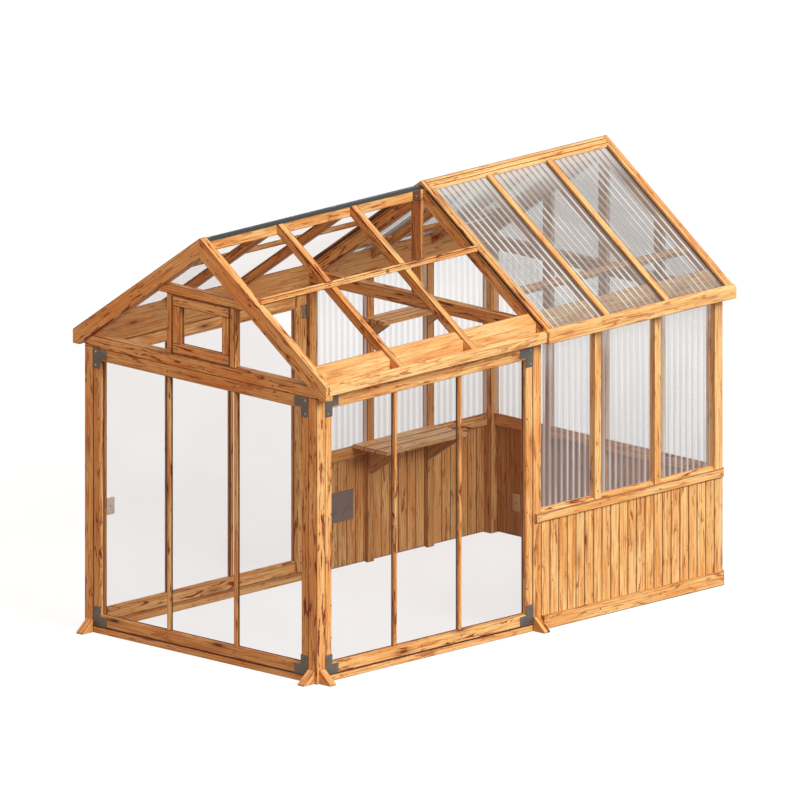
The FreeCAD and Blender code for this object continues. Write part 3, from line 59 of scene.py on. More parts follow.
# %% Units and directions
MM = 0.001
X, Y, Z = range(3)
RIGHT = Vector((1, 0, 0))
REAR = Vector((0, 1, 0))
UP = Vector((0, 0, 1))
AXES = (RIGHT, REAR, UP)

# %% [markdown]
# ## Camera
# The photograph is a parallel view: lines that run along the house stay parallel. An orthographic
# camera gives that. Its turn and tilt follow from the slopes of the long edges in the picture, and
# its scale from the length of the posts.


# %% Camera
def place_in_scene(name, data):
    """A new object for a mesh, a lamp or a camera."""
    made = bpy.data.objects.new(name, data)
    bpy.context.scene.collection.objects.link(made)
    return made


VIEW_TURN = math.radians(44.235)
VIEW_TILT = math.radians(13.968)
VIEW_WIDTH = 4.0
VIEW_AIM = (0.0024, 1.0412)
VIEW_DISTANCE = 12.0
FAR_CLIP = 60.0

view_right = Vector((math.cos(VIEW_TURN), math.sin(VIEW_TURN), 0))
view_back = Vector((math.sin(VIEW_TURN)*math.cos(VIEW_TILT), -math.cos(VIEW_TURN)*math.cos(VIEW_TILT),
                    math.sin(VIEW_TILT)))
view_up = view_back.cross(view_right)
camera_data = bpy.data.cameras.new("photo_view")
camera_data.type = "ORTHO"
camera_data.ortho_scale = VIEW_WIDTH
camera_data.clip_end = FAR_CLIP
camera = place_in_scene("photo_view", camera_data)
camera.matrix_world = Matrix((view_right, view_up, view_back)).transposed().to_4x4()
camera.location = VIEW_AIM[0]*view_right + VIEW_AIM[1]*view_up + VIEW_DISTANCE*view_back
bpy.context.scene.camera = camera
print("Camera at", [round(value, 2) for value in camera.location])

# %% [markdown]
# ## Helpers for node trees
# Both the finishes and the repeated pieces are node trees. One helper adds a node, sets its
# options and fills its sockets, so that each tree below reads as a list of steps. Short helpers
# for the commonest nodes keep those lists short.


# %% Any node
def add_node(tree, kind, fill=None, **options):
    """A new node; fill maps socket names or numbers to a value or to another node's output."""
    made = tree.nodes.new(kind)
    for option, value in options.items():
        setattr(made, option, value)
    for key, value in (fill or {}).items():
        if isinstance(value, bpy.types.NodeSocket):
            tree.links.new(value, made.inputs[key])
        else:
            made.inputs[key].default_value = value
    return made


print("One helper adds every node")


# %% Numbers and vectors
def math_node(tree, operation, first, second=0.0, third=0.0):
    return add_node(tree, "ShaderNodeMath", {0: first, 1: second, 2: third}, operation=operation).outputs[0]


def times(tree, first, second):
    return math_node(tree, "MULTIPLY", first, second)


def vector_node(tree, operation, first, second=(0, 0, 0)):
    return add_node(tree, "ShaderNodeVectorMath", {0: first, 1: second}, operation=operation).outputs[0]


def split(tree, vector):
    """The X, Y and Z of a vector."""
    return add_node(tree, "ShaderNodeSeparateXYZ", {0: vector}).outputs[:3]


def ramp_node(tree, value, low, high, start=0.0, end=1.0):
    """A smooth step of value from low to high."""
    step = add_node(tree, "ShaderNodeMapRange", {"Value": value, "From Min": low, "From Max": high,
                                                 "To Min": start, "To Max": end},
                    interpolation_type="SMOOTHSTEP")
    return step.outputs["Result"]


FULL_TURN = 2*math.pi
print("A full turn is", round(FULL_TURN, 3))


# %% Colours, patterns and bumps
def rgb(red, green, blue):
    """A colour written as it looks on screen, 0 to 255, turned into the linear values of a node."""
    linear = []
    for value in (red, green, blue):
        share = value/255
        linear.append(share/12.92 if share <= 0.04045 else ((share + 0.055)/1.055)**2.4)
    return (*linear, 1.0)


def mix_node(tree, share, first, second, blend="MIX"):
    mixed = add_node(tree, "ShaderNodeMix", {0: share, 6: first, 7: second}, data_type="RGBA",
                     blend_type=blend)
    return mixed.outputs[2]


def noise_node(tree, place, detail, scale=1.0, **more):
    """Noise at a place; more fills further sockets, such as Roughness."""
    values = {"Vector": place, "Scale": scale, "Detail": detail, **more}
    return add_node(tree, "ShaderNodeTexNoise", values).outputs[0]


def attribute_node(tree, name, output="Vector"):
    return add_node(tree, "ShaderNodeAttribute", attribute_name=name).outputs[output]


def object_place(tree):
    return add_node(tree, "ShaderNodeTexCoord").outputs["Object"]


def bumped(tree, shader, height, strength, depth):
    """Lead a height through a Bump node to the shader."""
    bump = add_node(tree, "ShaderNodeBump", {"Height": height, "Strength": strength, "Distance": depth})
    tree.links.new(bump.outputs["Normal"], shader["Normal"])


WHITE = rgb(255, 255, 255)
BLACK = rgb(0, 0, 0)
print("Half grey on screen is", round(rgb(128, 128, 128)[0], 3), "in a node")

# %% Groups and materials
COLOUR = "NodeSocketColor"
VALUE = "NodeSocketFloat"


def new_group(name, takes, gives):
    """A shader group with its named sockets, and its input and output nodes."""
    tree = bpy.data.node_groups.new(name, "ShaderNodeTree")
    for label, kind, value in takes:
        tree.interface.new_socket(label, in_out="INPUT", socket_type=kind).default_value = value
    for label, kind in gives:
        tree.interface.new_socket(label, in_out="OUTPUT", socket_type=kind)
    return tree, tree.nodes.new("NodeGroupInput").outputs, tree.nodes.new("NodeGroupOutput").inputs


def group_node(tree, group, values):
    """A group placed in a tree with its own values."""
    return add_node(tree, "ShaderNodeGroup", values, node_tree=group).outputs


def new_material(name):
    material = bpy.data.materials.new(name)
    material.use_nodes = True
    return material, material.node_tree, material.node_tree.nodes["Principled BSDF"].inputs


print("Groups take", COLOUR, "and", VALUE)

# %% [markdown]
# ## The figure of pine
# Every timber was sawn from a trunk, so its grain follows its own length. Each piece made below
# therefore carries four attributes: the place inside the timber with the grain first, the half
# sizes, a random tone and a painted shade. The figure group reads three of them. Wide noise gives
# warm and pale bands, the distance from a far pith gives the year rings, long thin noise gives the
# dark resin streaks, a stretched Voronoi pattern gives the few knots, and the painted shade darkens the
# whole.

# %% Place in the trunk
PINE_COLOURS = {"Pale": rgb(232, 170, 102), "Warm": rgb(214, 140, 72), "Amber": rgb(206, 124, 56),
                "Streak": rgb(150, 78, 30), "Knot": rgb(92, 40, 14)}
APART = (17.3, 3.1, 5.7)
REPEATS = {"bands": (2.2, 16, 16), "bend": (3, 9, 9), "pith": (0.02, 1, 1), "resin": (3.5, 120, 120),
           "flames": (7.0, 50, 50), "fibre": (14, 620, 620), "knots": (3.1, 13, 13)}

figure, given, wanted = new_group(
    "pine figure",
    [*((label, COLOUR, colour) for label, colour in PINE_COLOURS.items()),
     ("Streak Amount", VALUE, 0.8), ("Knot Amount", VALUE, 0.3)],
    [("Color", COLOUR), ("Dark", VALUE), ("Height", VALUE)])
tone = attribute_node(figure, "tone", "Fac")
step = add_node(figure, "ShaderNodeVectorMath", {0: APART, "Scale": tone}, operation="SCALE").outputs[0]
trunk = vector_node(figure, "ADD", attribute_node(figure, "timber"), step)


def stretched(pattern):
    """The place in the trunk, times the repeats of a pattern along, across and through the grain."""
    return vector_node(figure, "MULTIPLY", trunk, REPEATS[pattern])


print("Patterns of the figure:", ", ".join(REPEATS))

# %% Bands and year rings
BAND_LIMITS = (0.35, 0.68)
RING_SPACING = 7*MM
RING_WOBBLE = 15.0
RING_LIMITS = (0.1, 0.95)
RING_SHARE = 0.3

band = ramp_node(figure, noise_node(figure, stretched("bands"), 3.0), *BAND_LIMITS)
ground = mix_node(figure, band, given["Pale"], given["Warm"])
bend = times(figure, noise_node(figure, stretched("bend"), 2.0), RING_WOBBLE)
from_pith = add_node(figure, "ShaderNodeVectorMath", {0: stretched("pith")}, operation="LENGTH")
turns = math_node(figure, "MULTIPLY_ADD", from_pith.outputs["Value"], FULL_TURN/RING_SPACING, bend)
ring = ramp_node(figure, math_node(figure, "SINE", turns), *RING_LIMITS)
ringed = mix_node(figure, times(figure, ring, RING_SHARE), ground, given["Amber"])
print("Year rings lie", round(RING_SPACING/MM), "mm apart")

# %% Resin, flames and fibre
RESIN_LIMITS, RESIN_SHARE = (0.5, 0.62), 0.75
FLAME_LIMITS, FLAME_SHARE = (0.5, 0.62), 0.5
STREAK_LIMITS, STREAK_RANGE = (0.55, 0.64), (0.35, 1.25)
FIBRE_LIMITS, FIBRE_SHARE = (0.4, 0.8), 0.22

resin = noise_node(figure, stretched("resin"), 3.0, Roughness=0.6, Distortion=0.2)
resin_line = times(figure, ramp_node(figure, resin, *RESIN_LIMITS), RESIN_SHARE)
lined = mix_node(figure, resin_line, ringed, given["Amber"])
flame = noise_node(figure, stretched("flames"), 6.0, Roughness=0.64, Distortion=0.9)
glow = times(figure, ramp_node(figure, flame, *FLAME_LIMITS), FLAME_SHARE)
glowing = mix_node(figure, glow, lined, given["Amber"])
lively = times(figure, given["Streak Amount"], ramp_node(figure, tone, 0.0, 1.0, *STREAK_RANGE))
streak = times(figure, ramp_node(figure, flame, *STREAK_LIMITS), lively)
streaked = mix_node(figure, streak, glowing, given["Streak"])
fibre = noise_node(figure, stretched("fibre"), 2.0)
fibred = mix_node(figure, times(figure, ramp_node(figure, fibre, *FIBRE_LIMITS), FIBRE_SHARE),
                  streaked, given["Streak"])
print("A timber takes", STREAK_RANGE, "times the streaks of its finish, by its tone")

# %% Knots
KNOT_CORE = 0.14
KNOT_SOFT = 0.06
KNOT_HALO = 3*KNOT_CORE
KNOT_WOBBLE = 0.14
HALO_SHARE = 0.55
CORE_SHARE = 0.85

cells = add_node(figure, "ShaderNodeTexVoronoi",
                 {"Vector": stretched("knots"), "Scale": 1.0, "Randomness": 1.0})
chance = add_node(figure, "ShaderNodeSeparateColor", {0: cells.outputs["Color"]}).outputs[0]
chosen = math_node(figure, "LESS_THAN", chance, given["Knot Amount"])
uneven = math_node(figure, "MULTIPLY_ADD", resin, KNOT_WOBBLE, cells.outputs["Distance"])
core = times(figure, ramp_node(figure, uneven, KNOT_CORE + KNOT_SOFT, KNOT_CORE), chosen)
halo = times(figure, ramp_node(figure, uneven, KNOT_HALO, KNOT_CORE), chosen)
haloed = mix_node(figure, times(figure, halo, HALO_SHARE), fibred, given["Streak"])
figured = mix_node(figure, times(figure, core, CORE_SHARE), haloed, given["Knot"])
print("A knot is", round(2*KNOT_CORE/REPEATS["knots"][Y]/MM), "mm across the grain")

# %% Painted shade, and what the figure gives
# Painted shade: a warm tint multiplied into timbers that lie away from the light
PAINTED_SHADE_TINT = (0.50, 0.34, 0.24, 1.0)

shade_painted = mix_node(figure, attribute_node(figure, "painted_shade", "Fac"), figured, PAINTED_SHADE_TINT, blend="MULTIPLY")
dark = math_node(figure, "MAXIMUM", core, times(figure, streak, 0.5))
relief = math_node(figure, "MULTIPLY_ADD", fibre, 0.5, times(figure, ring, 0.5))
figure.links.new(shade_painted, wanted["Color"])
figure.links.new(dark, wanted["Dark"])
figure.links.new(math_node(figure, "SUBTRACT", relief, dark), wanted["Height"])
print("Figure of pine has", len(figure.nodes), "nodes")

# %% [markdown]
# ## Edge lines
# Every timber is drawn by its edges: a painted shade darkens each arris and each joint, where shade
# gathers. The distance to the nearest edge is the second smallest of the three distances between a
# point and the sides of its timber, because on a surface the smallest one is always about nought.


# %% Edge line
# The mask serves painted shade on timber arrises, and wear on painted arrises
def edge_line_group():
    tree, given, wanted = new_group("edge line", [("Width", VALUE, 4*MM)], [("Mask", VALUE)])
    inside = vector_node(tree, "ABSOLUTE", attribute_node(tree, "timber"))
    first, second, third = split(tree, vector_node(tree, "SUBTRACT", attribute_node(tree, "half"), inside))
    lower = math_node(tree, "MINIMUM", first, second)
    upper = math_node(tree, "MAXIMUM", first, second)
    middle = math_node(tree, "MAXIMUM", lower, math_node(tree, "MINIMUM", upper, third))
    tree.links.new(ramp_node(tree, middle, given["Width"], 0.0), wanted["Mask"])
    return tree


edge_line = edge_line_group()
print("Edge line has", len(edge_line.nodes), "nodes")

# %% [markdown]
# ## Wood finishes
# The frame, the fascias and plates, the wall boards and the shelves are the same pine under the
# same oil. The frame has strong streaks and knots, and the boards are calmer. The fascias are the
# palest and the shelves calmer still: both are paler copies, painted lit. One maker function places
# both groups with its own values, and the edge lines, a painted shade, take the colour of the knots.

# %% Wood finishes
WOOD_ROUGHNESS = (0.5, 0.68)
WOOD_RELIEF = (0.25, 0.6*MM)


def wood(name, colours, streaks, knots, line_width, edge_shade_strength):
    """Oiled pine; the colours come in the order of PINE_COLOURS."""
    material, tree, shader = new_material(name)
    values = {label: rgb(*colour) for label, colour in zip(PINE_COLOURS, colours)}
    grain = group_node(tree, figure, {**values, "Streak Amount": streaks, "Knot Amount": knots})
    # Painted shade along every arris, in the colour of the knots
    line = group_node(tree, edge_line, {"Width": line_width})
    share = times(tree, line["Mask"], edge_shade_strength)
    tree.links.new(mix_node(tree, share, grain["Color"], values["Knot"]), shader["Base Color"])
    tree.links.new(ramp_node(tree, grain["Dark"], 0.0, 1.0, *WOOD_ROUGHNESS), shader["Roughness"])
    bumped(tree, shader, grain["Height"], *WOOD_RELIEF)
    shader["Specular IOR Level"].default_value = 0.35
    return material


honey_wood = wood("oiled frame pine",
                  [(255, 210, 140), (242, 174, 100), (206, 118, 52), (124, 48, 14), (72, 26, 8)],
                  streaks=1.05, knots=0.36, line_width=5*MM, edge_shade_strength=0.95)
# A paler copy of the frame pine, painted lit, for timbers towards the light and for the upper shelf
pale_lit_wood = wood("oiled fascia pine",
                 [(255, 218, 152), (247, 190, 119), (216, 138, 72), (152, 78, 32), (84, 34, 12)],
                 streaks=0.5, knots=0.14, line_width=5*MM, edge_shade_strength=0.95)
board_wood = wood("oiled wall board pine",
                  [(255, 212, 144), (242, 178, 104), (208, 128, 60), (146, 70, 26), (72, 28, 8)],
                  streaks=0.8, knots=0.28, line_width=7*MM, edge_shade_strength=1.0)
# Shelf pine made paler as painted light, for shelves that lie in the shade of the roof
shelf_wood = wood("shelf pine painted lit",
                  [(255, 226, 178), (250, 200, 140), (214, 150, 90), (136, 80, 42), (54, 26, 12)],
                  streaks=0.4, knots=0.1, line_width=5*MM, edge_shade_strength=1.0)
print("Woods:", honey_wood.name, "|", pale_lit_wood.name, "|", board_wood.name, "|", shelf_wood.name)

# %% [markdown]
# ## Timbers from the imported solids
# A imported node is a bag of loose triangles, and some nodes hold several timbers that touch. The
# triangles come solid by solid, so a solid is complete when each edge has met its opposite. Every
# solid is welded, freed of flat edges and softened on its arrises by a small bevel, as a plane
# leaves them. Its longest edge gives the grain. Timbers that lie in shade get a painted shade,
# which darkens their colour.

# %% Weld one solid
FLAT_ANGLE = math.radians(0.5)


def welded(faces):
    """One bmesh from triangles whose corners come as (key, place)."""
    solid = bmesh.new()
    points = {}
    for face in faces:
        for key, corner in face:
            if key not in points:
                points[key] = solid.verts.new(corner)
        solid.faces.new([points[key] for key, corner in face])
    solid.normal_update()
    bmesh.ops.dissolve_limit(solid, angle_limit=FLAT_ANGLE, verts=solid.verts, edges=solid.edges)
    solid.normal_update()
    return solid


print("Edges flatter than", round(math.degrees(FLAT_ANGLE), 1), "degrees are dissolved")

# %% Find the solids of a node
KEY_STEPS = 1e6


def solids_of(node):
    """The closed solids of a node, one after another; each is freed after its turn."""
    mesh = nodes[node].data
    waiting = {}
    faces = []
    for polygon in mesh.polygons:
        corners = [mesh.vertices[index].co.copy() for index in polygon.vertices]
        keys = [tuple(round(value*KEY_STEPS) for value in corner) for corner in corners]
        faces.append(list(zip(keys, corners)))
        for start, end in zip(keys, keys[1:] + keys[:1]):
            if waiting.get((end, start)):
                waiting[(end, start)] -= 1
                if not waiting[(end, start)]:
                    del waiting[(end, start)]
            else:
                waiting[(start, end)] = waiting.get((start, end), 0) + 1
        if not waiting:
            solid = welded(faces)
            yield solid
            solid.free()
            faces = []


print("Gable rafters at the front and the rear:", sum(1 for solid in solids_of("gable_rafters")))


# %% Measure a solid
def spread(solid, axis):
    """Lowest and highest place of a solid along a direction."""
    places = [vertex.co.dot(axis) for vertex in solid.verts]
    return min(places), max(places)


def box_of(solid):
    """Lowest and highest corner of a solid."""
    low, high = zip(*(spread(solid, axis) for axis in AXES))
    return Vector(low), Vector(high)


def solid_boxes(node):
    return [box_of(solid) for solid in solids_of(node)]


def upward(axis):
    """A direction, turned round where it points down."""
    return -axis if axis.z < 0 else axis


print("Wall studs:", len(solid_boxes("wall_studs")))

# %% Grain and soft arrises
FLANK_LIMIT = 0.2
SHARP_ANGLE = math.radians(28)


def grain_axes(solid):
    """Grain, width and thickness directions of one timber."""
    longest = max(solid.edges, key=lambda edge: edge.calc_length())
    along = (longest.verts[1].co - longest.verts[0].co).normalized()
    flanks = [face for face in solid.faces if abs(face.normal.dot(along)) < FLANK_LIMIT]
    thick = max(flanks, key=lambda face: face.calc_area()).normal.copy()
    return along, thick.cross(along).normalized(), thick


def soften(solid, width, steps):
    """A small bevel on every sharp edge."""
    sharp = [edge for edge in solid.edges if edge.is_manifold and edge.calc_face_angle(0) > SHARP_ANGLE]
    bmesh.ops.bevel(solid, geom=sharp, offset=width, segments=steps, profile=0.5, affect="EDGES",
                    clamp_overlap=True)


print("Edges sharper than", round(math.degrees(SHARP_ANGLE)), "degrees are softened")

# %% Gather solids into one piece
dice = random.Random(41)


def store(mesh, label, kind, values):
    """Keep a value for every point of a mesh."""
    field = "vector" if kind == "FLOAT_VECTOR" else "value"
    mesh.attributes.new(label, kind, "POINT").data.foreach_set(field, values)


class Heap:
    """Points, faces and timber attributes of many solids, for one object."""

    kinds = {"timber": "FLOAT_VECTOR", "half": "FLOAT_VECTOR", "tone": "FLOAT", "painted_shade": "FLOAT"}

    def __init__(self):
        self.points = []
        self.faces = []
        self.values = {label: [] for label in self.kinds}

    def take(self, solid, axes, painted_shade=0.0):
        spans = [spread(solid, axis) for axis in axes]
        first = len(self.points)
        tone = dice.random()
        for number, vertex in enumerate(solid.verts):
            vertex.index = number
            self.points.append(vertex.co.copy())
            self.values["timber"] += [vertex.co.dot(axis) - (low + high)/2
                                      for axis, (low, high) in zip(axes, spans)]
            self.values["half"] += [(high - low)/2 for low, high in spans]
            self.values["tone"].append(tone)
            self.values["painted_shade"].append(painted_shade)
        self.faces.extend([first + vertex.index for vertex in face.verts] for face in solid.faces)

    def piece(self, name, finish):
        mesh = bpy.data.meshes.new(name)
        mesh.from_pydata(self.points, [], self.faces)
        for label, kind in self.kinds.items():
            store(mesh, label, kind, self.values[label])
        mesh.materials.append(finish)
        return place_in_scene(name, mesh)


print("A heap carries", ", ".join(Heap.kinds))

# %% Say what a piece rides on
body_of = {node: body for body, members in frame["record"]["behaviour"]["bodies"].items() for node in members}
slot_of = {row["node"]: row["material_slot"] for row in frame["record"]["subparts"]}


def settle(piece, body, slot, *replaced):
    """Say what a piece rides on and what it stands for; the slot is not used."""
    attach(piece, body)
    if replaced:
        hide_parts(*replaced)


print("Bodies:", sorted(set(body_of.values())))

# %% Painted shade of the timbers
PAINTED_SHADES = {"wall_boards_rear": 0.45, "wall_boards_left": 0.1, "shelf_brackets": 0.4, "king_post": 0.35,
        "tie_beam_junction": 0.15, "front_panel_frame": 0.22, "tie_beam_front": 0.1, "common_rafters": 0.15,
        "roof_purlins": 0.4, "tie_beam_rear": 0.15}
# Timbers in the paler pine that is painted lit; on the left they take a strong painted shade
PALE_LIT = ("eaves_fascias", "wall_plates", "ridge_boards", "glazing_bar_caps", "wall_studs", "post_rear_right",
        "upper_shelf")
UNSHADED = ("lower_shelf", "upper_shelf", "shelf_brackets")
# Painted shade added on the shaded left, much more for the pale timbers there, and at the rear
LEFT_PAINTED_SHADE, PALE_LEFT_PAINTED_SHADE, REAR_PAINTED_SHADE = 0.22, 0.7, 0.12
LEFT_LIMIT, FRONT_LIMIT, REAR_LIMIT, SIDE_LIMIT = -0.1, -1.3, 1.3, 0.7


def painted_shade_of(node, solid):
    """How much painted shade a timber gets: more on the left and at the rear, which lie away from the light.
    """
    painted_shade = PAINTED_SHADES.get(node, 0.0)
    if node in UNSHADED:
        return painted_shade
    centre_x, centre_y = (sum(spread(solid, axis))/2 for axis in (RIGHT, REAR))
    if centre_x < LEFT_LIMIT and centre_y > FRONT_LIMIT:
        painted_shade += PALE_LEFT_PAINTED_SHADE if node in PALE_LIT else LEFT_PAINTED_SHADE
    if centre_y > REAR_LIMIT and abs(centre_x) < SIDE_LIMIT:
        painted_shade += REAR_PAINTED_SHADE
    return painted_shade


assert nodes.keys() >= {*PAINTED_SHADES, *PALE_LIT, *UNSHADED}
# The own ages printed below are each node's own painted shade
print("Own ages:", len(PAINTED_SHADES), "nodes; pale pine:", len(PALE_LIT), "nodes")

# %% Make the timbers
WOODS = {"honey_wood": (honey_wood, 2.0*MM), "cladding_wood": (board_wood, 1.0*MM),
         "shelf_wood": (shelf_wood, 1.5*MM)}

timbers = 0
for node in sorted(nodes):
    slot = slot_of[node]
    if slot not in WOODS or node == "door_knob":
        continue
    finish, soft_edge = WOODS[slot]
    heap = Heap()
    for solid in solids_of(node):
        axes = grain_axes(solid)
        painted_shade = painted_shade_of(node, solid)
        soften(solid, soft_edge, 1)
        heap.take(solid, axes, painted_shade)
        timbers += 1
    settle(heap.piece("oiled_" + node, pale_lit_wood if node in PALE_LIT else finish), body_of[node], slot, node)
print("Softened", timbers, "timbers")

# %% [markdown]
# ## Paints, platings and glass
# The corner plates are dark sheet steel with a little wear on their arrises, the ridge cap is a
# black strip, the vent's pins are zinc plated, the hinges are dull steel, and the cover plates and
# the latch plate are painted. All share one group that mottles a plain paint, as dust and handling
# do. The panes let the view through by a low alpha, which keeps the pale background clean.

# %% Mottled paint
WEAR_LIMITS = (0.4, 0.72)
SPECKS = 900.0


def mottle_group():
    tree, given, wanted = new_group(
        "mottle", [("Clean", COLOUR, rgb(90, 88, 84)), ("Worn", COLOUR, rgb(130, 126, 118)),
                   ("Scale", VALUE, 60.0), ("Amount", VALUE, 0.5)],
        [("Color", COLOUR), ("Cloud", VALUE), ("Height", VALUE)])
    spot = object_place(tree)
    cloud = noise_node(tree, spot, 5.0, given["Scale"], Roughness=0.6)
    share = times(tree, ramp_node(tree, cloud, *WEAR_LIMITS), given["Amount"])
    tree.links.new(mix_node(tree, share, given["Clean"], given["Worn"]), wanted["Color"])
    tree.links.new(cloud, wanted["Cloud"])
    tree.links.new(noise_node(tree, spot, 2.0, SPECKS), wanted["Height"])
    return tree


mottle = mottle_group()
print("Mottle has", len(mottle.nodes), "nodes")

# %% Paints and platings
WORN_WIDTH = 2.5*MM
PAINT_RELIEF = (0.15, 0.2*MM)
CLOUD_LIMITS = (0.3, 0.7)


def painted(name, clean, worn, clouds, wear, metallic, roughness, worn_edge=0.0):
    """Paint or plating; clouds is a number in a metre, wear and worn_edge are shares of the worn colour."""
    material, tree, shader = new_material(name)
    cover = group_node(tree, mottle, {"Clean": rgb(*clean), "Worn": rgb(*worn), "Scale": clouds,
                                      "Amount": wear})
    line = group_node(tree, edge_line, {"Width": WORN_WIDTH})
    share = times(tree, line["Mask"], worn_edge)
    tree.links.new(mix_node(tree, share, cover["Color"], rgb(*worn)), shader["Base Color"])
    tree.links.new(ramp_node(tree, cover["Cloud"], *CLOUD_LIMITS, *roughness), shader["Roughness"])
    bumped(tree, shader, cover["Height"], *PAINT_RELIEF)
    shader["Metallic"].default_value = metallic
    return material


dark_steel = painted("dark corner steel", (92, 87, 82), (120, 112, 102), 45.0, 0.6, 0.3, (0.42, 0.6), 0.5)
black_strip = painted("black ridge strip", (36, 41, 40), (66, 72, 69), 30.0, 0.5, 0.2, (0.4, 0.55), 0.7)
zinc = painted("zinc plating", (172, 170, 164), (132, 128, 120), 120.0, 0.7, 0.8, (0.3, 0.5), 0.3)
bronze = painted("dull hinge steel", (146, 124, 98), (112, 90, 66), 90.0, 0.7, 0.4, (0.4, 0.6), 0.4)
beige = painted("beige latch paint", (244, 232, 214), (150, 126, 100), 60.0, 0.3, 0.0, (0.45, 0.6), 0.8)
grey = painted("grey cover plate", (122, 113, 108), (96, 88, 84), 40.0, 0.7, 0.0, (0.5, 0.65), 0.5)
cream = painted("cream cover plate", (222, 202, 172), (190, 166, 134), 60.0, 0.6, 0.0, (0.5, 0.65), 0.5)
browned = painted("browned plate steel", (92, 62, 40), (130, 94, 64), 60.0, 0.6, 0.2, (0.5, 0.7), 0.3)
print("The mottle is used by", mottle.users, "paints and platings so far")

# %% Clear glazing
PANE_TINT = rgb(120, 74, 44)
PANE_ROUGHNESS = (0.06, 0.096)
HAZE_LIMITS = (0.3, 0.7)
HAZE_REPEATS = 2.4
RIDGE_ZONE = (-0.01, 0.01)


def clear(name, alpha_low, alpha_high, right_share=1.0):
    """A see-through pane with a very soft haze; right_share thins it on the right half of the house."""
    material, tree, shader = new_material(name)
    spot = object_place(tree)
    haze = noise_node(tree, spot, 3.0, HAZE_REPEATS)
    share = ramp_node(tree, split(tree, spot)[X], *RIDGE_ZONE, 1.0, right_share)
    alpha = times(tree, share, ramp_node(tree, haze, *HAZE_LIMITS, alpha_low, alpha_high))
    tree.links.new(alpha, shader["Alpha"])
    tree.links.new(ramp_node(tree, haze, *HAZE_LIMITS, *PANE_ROUGHNESS), shader["Roughness"])
    shader["Base Color"].default_value = PANE_TINT
    shader["Specular IOR Level"].default_value = 0.4
    return material


def dress(node, finish):
    """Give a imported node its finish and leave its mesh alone."""
    nodes[node].material_slots[0].link = "OBJECT"
    nodes[node].material_slots[0].material = finish


wall_pane = clear("clear wall pane", 0.088, 0.10)
roof_pane = clear("clear roof pane", 0.08, 0.095, right_share=0.12)
door_pane = clear("clear door pane", 0.016, 0.02)
PANES = {"front_panel_glass": wall_pane, "right_panel_glass": wall_pane, "vent_glass": wall_pane,
         "gable_glass": wall_pane, "roof_glass": roof_pane, "door_glass": door_pane}
for node, finish in PANES.items():
    dress(node, finish)
print(len(PANES), "nodes of panes keep their exact solids")

# %% [markdown]
# ## Small metal pieces
# Their solids are exact but sharp. A narrow bevel in two steps catches the light, and smooth
# shading between the bevels keeps the round barrels and the knob round. A small brown plate at the
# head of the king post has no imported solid, so a box is made for it, softened in the same way.

# %% Softened metal and plates
SMOOTH_LIMIT = math.radians(32)


def softened_piece(name, node, finish, width, only=None):
    """A copy of a node, or of one of its solids, with rounded arrises."""
    heap = Heap()
    for number, solid in enumerate(solids_of(node)):
        if only in (None, number):
            axes = grain_axes(solid)
            soften(solid, width, 2)
            heap.take(solid, axes)
    piece = heap.piece(name, finish)
    piece.data.shade_smooth()
    piece.data.set_sharp_from_angle(angle=SMOOTH_LIMIT)
    settle(piece, body_of[node], slot_of[node], node)


METALS = {
    "corner_brackets": (dark_steel, 0.6*MM), "door_brackets": (dark_steel, 0.6*MM),
    "ridge_cap": (black_strip, 0.8*MM), "door_hinge_leaves": (bronze, 0.25*MM),
    "post_hinge_leaves": (bronze, 0.25*MM), "vent_pivots": (zinc, 0.3*MM),
    "door_latch_plate": (beige, 0.7*MM), "door_knob": (honey_wood, 1.2*MM),
}
for node, (finish, width) in METALS.items():
    softened_piece("finished_" + node, node, finish, width)
softened_piece("grey_cover_plate", "wall_cover_plates", grey, 0.8*MM, only=0)
softened_piece("cream_cover_plate", "wall_cover_plates", cream, 0.8*MM, only=1)
print("Finished", len(METALS) + 2, "small pieces")

# %% Plate at the king post
PLATE_SIZE = (3*MM, 56*MM, 50*MM)
PLATE_LAP = 14*MM

beam_low, beam_high = solid_boxes("ridge_beams")[0]
king_low, king_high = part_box("king_post")
plate_middle = Vector((beam_high.x + PLATE_SIZE[X]/2, king_low.y - PLATE_SIZE[Y]/2 + PLATE_LAP,
                       beam_low.z + PLATE_SIZE[Z]/2))
plate = bmesh.new()
bmesh.ops.create_cube(plate, size=1.0)
bmesh.ops.scale(plate, vec=PLATE_SIZE, verts=plate.verts)
bmesh.ops.translate(plate, vec=plate_middle, verts=plate.verts)
plate.normal_update()
axes = grain_axes(plate)
soften(plate, 0.6*MM, 2)
heap = Heap()
heap.take(plate, axes)
plate.free()
settle(heap.piece("king_post_plate", browned), "house", "dark_bracket")
print("Plate at", [round(value, 3) for value in plate_middle])

# %% [markdown]
# ## Corrugated sheets
# A corrugated sheet follows one rule: its height is a cosine of the place across it. That is work
# for Geometry Nodes. One tree bends a flat grid into waves, stores for each point how many waves
# lie beside it and how far up the sheet it is, gives the sheet its thickness and sets one on every
# bay. The bays come from the imported sheets, whose waves are angular. From the stored values the
# finish paints highlights along the crests, and lets a part of the sheet's lit colour glow.


# %% Parts of a geometry tree
def geometry_tree(name, takes):
    """A geometry tree with named inputs and one geometry output."""
    tree = bpy.data.node_groups.new(name, "GeometryNodeTree")
    for label, kind in (("Geometry", "NodeSocketGeometry"), *takes):
        tree.interface.new_socket(label, in_out="INPUT", socket_type=kind)
    tree.interface.new_socket("Geometry", in_out="OUTPUT", socket_type="NodeSocketGeometry")
    return tree, tree.nodes.new("NodeGroupInput").outputs, tree.nodes.new("NodeGroupOutput").inputs


def joined(tree, *parts):
    both = tree.nodes.new("GeometryNodeJoinGeometry")
    for part in parts:
        tree.links.new(part, both.inputs[0])
    return both.outputs[0]


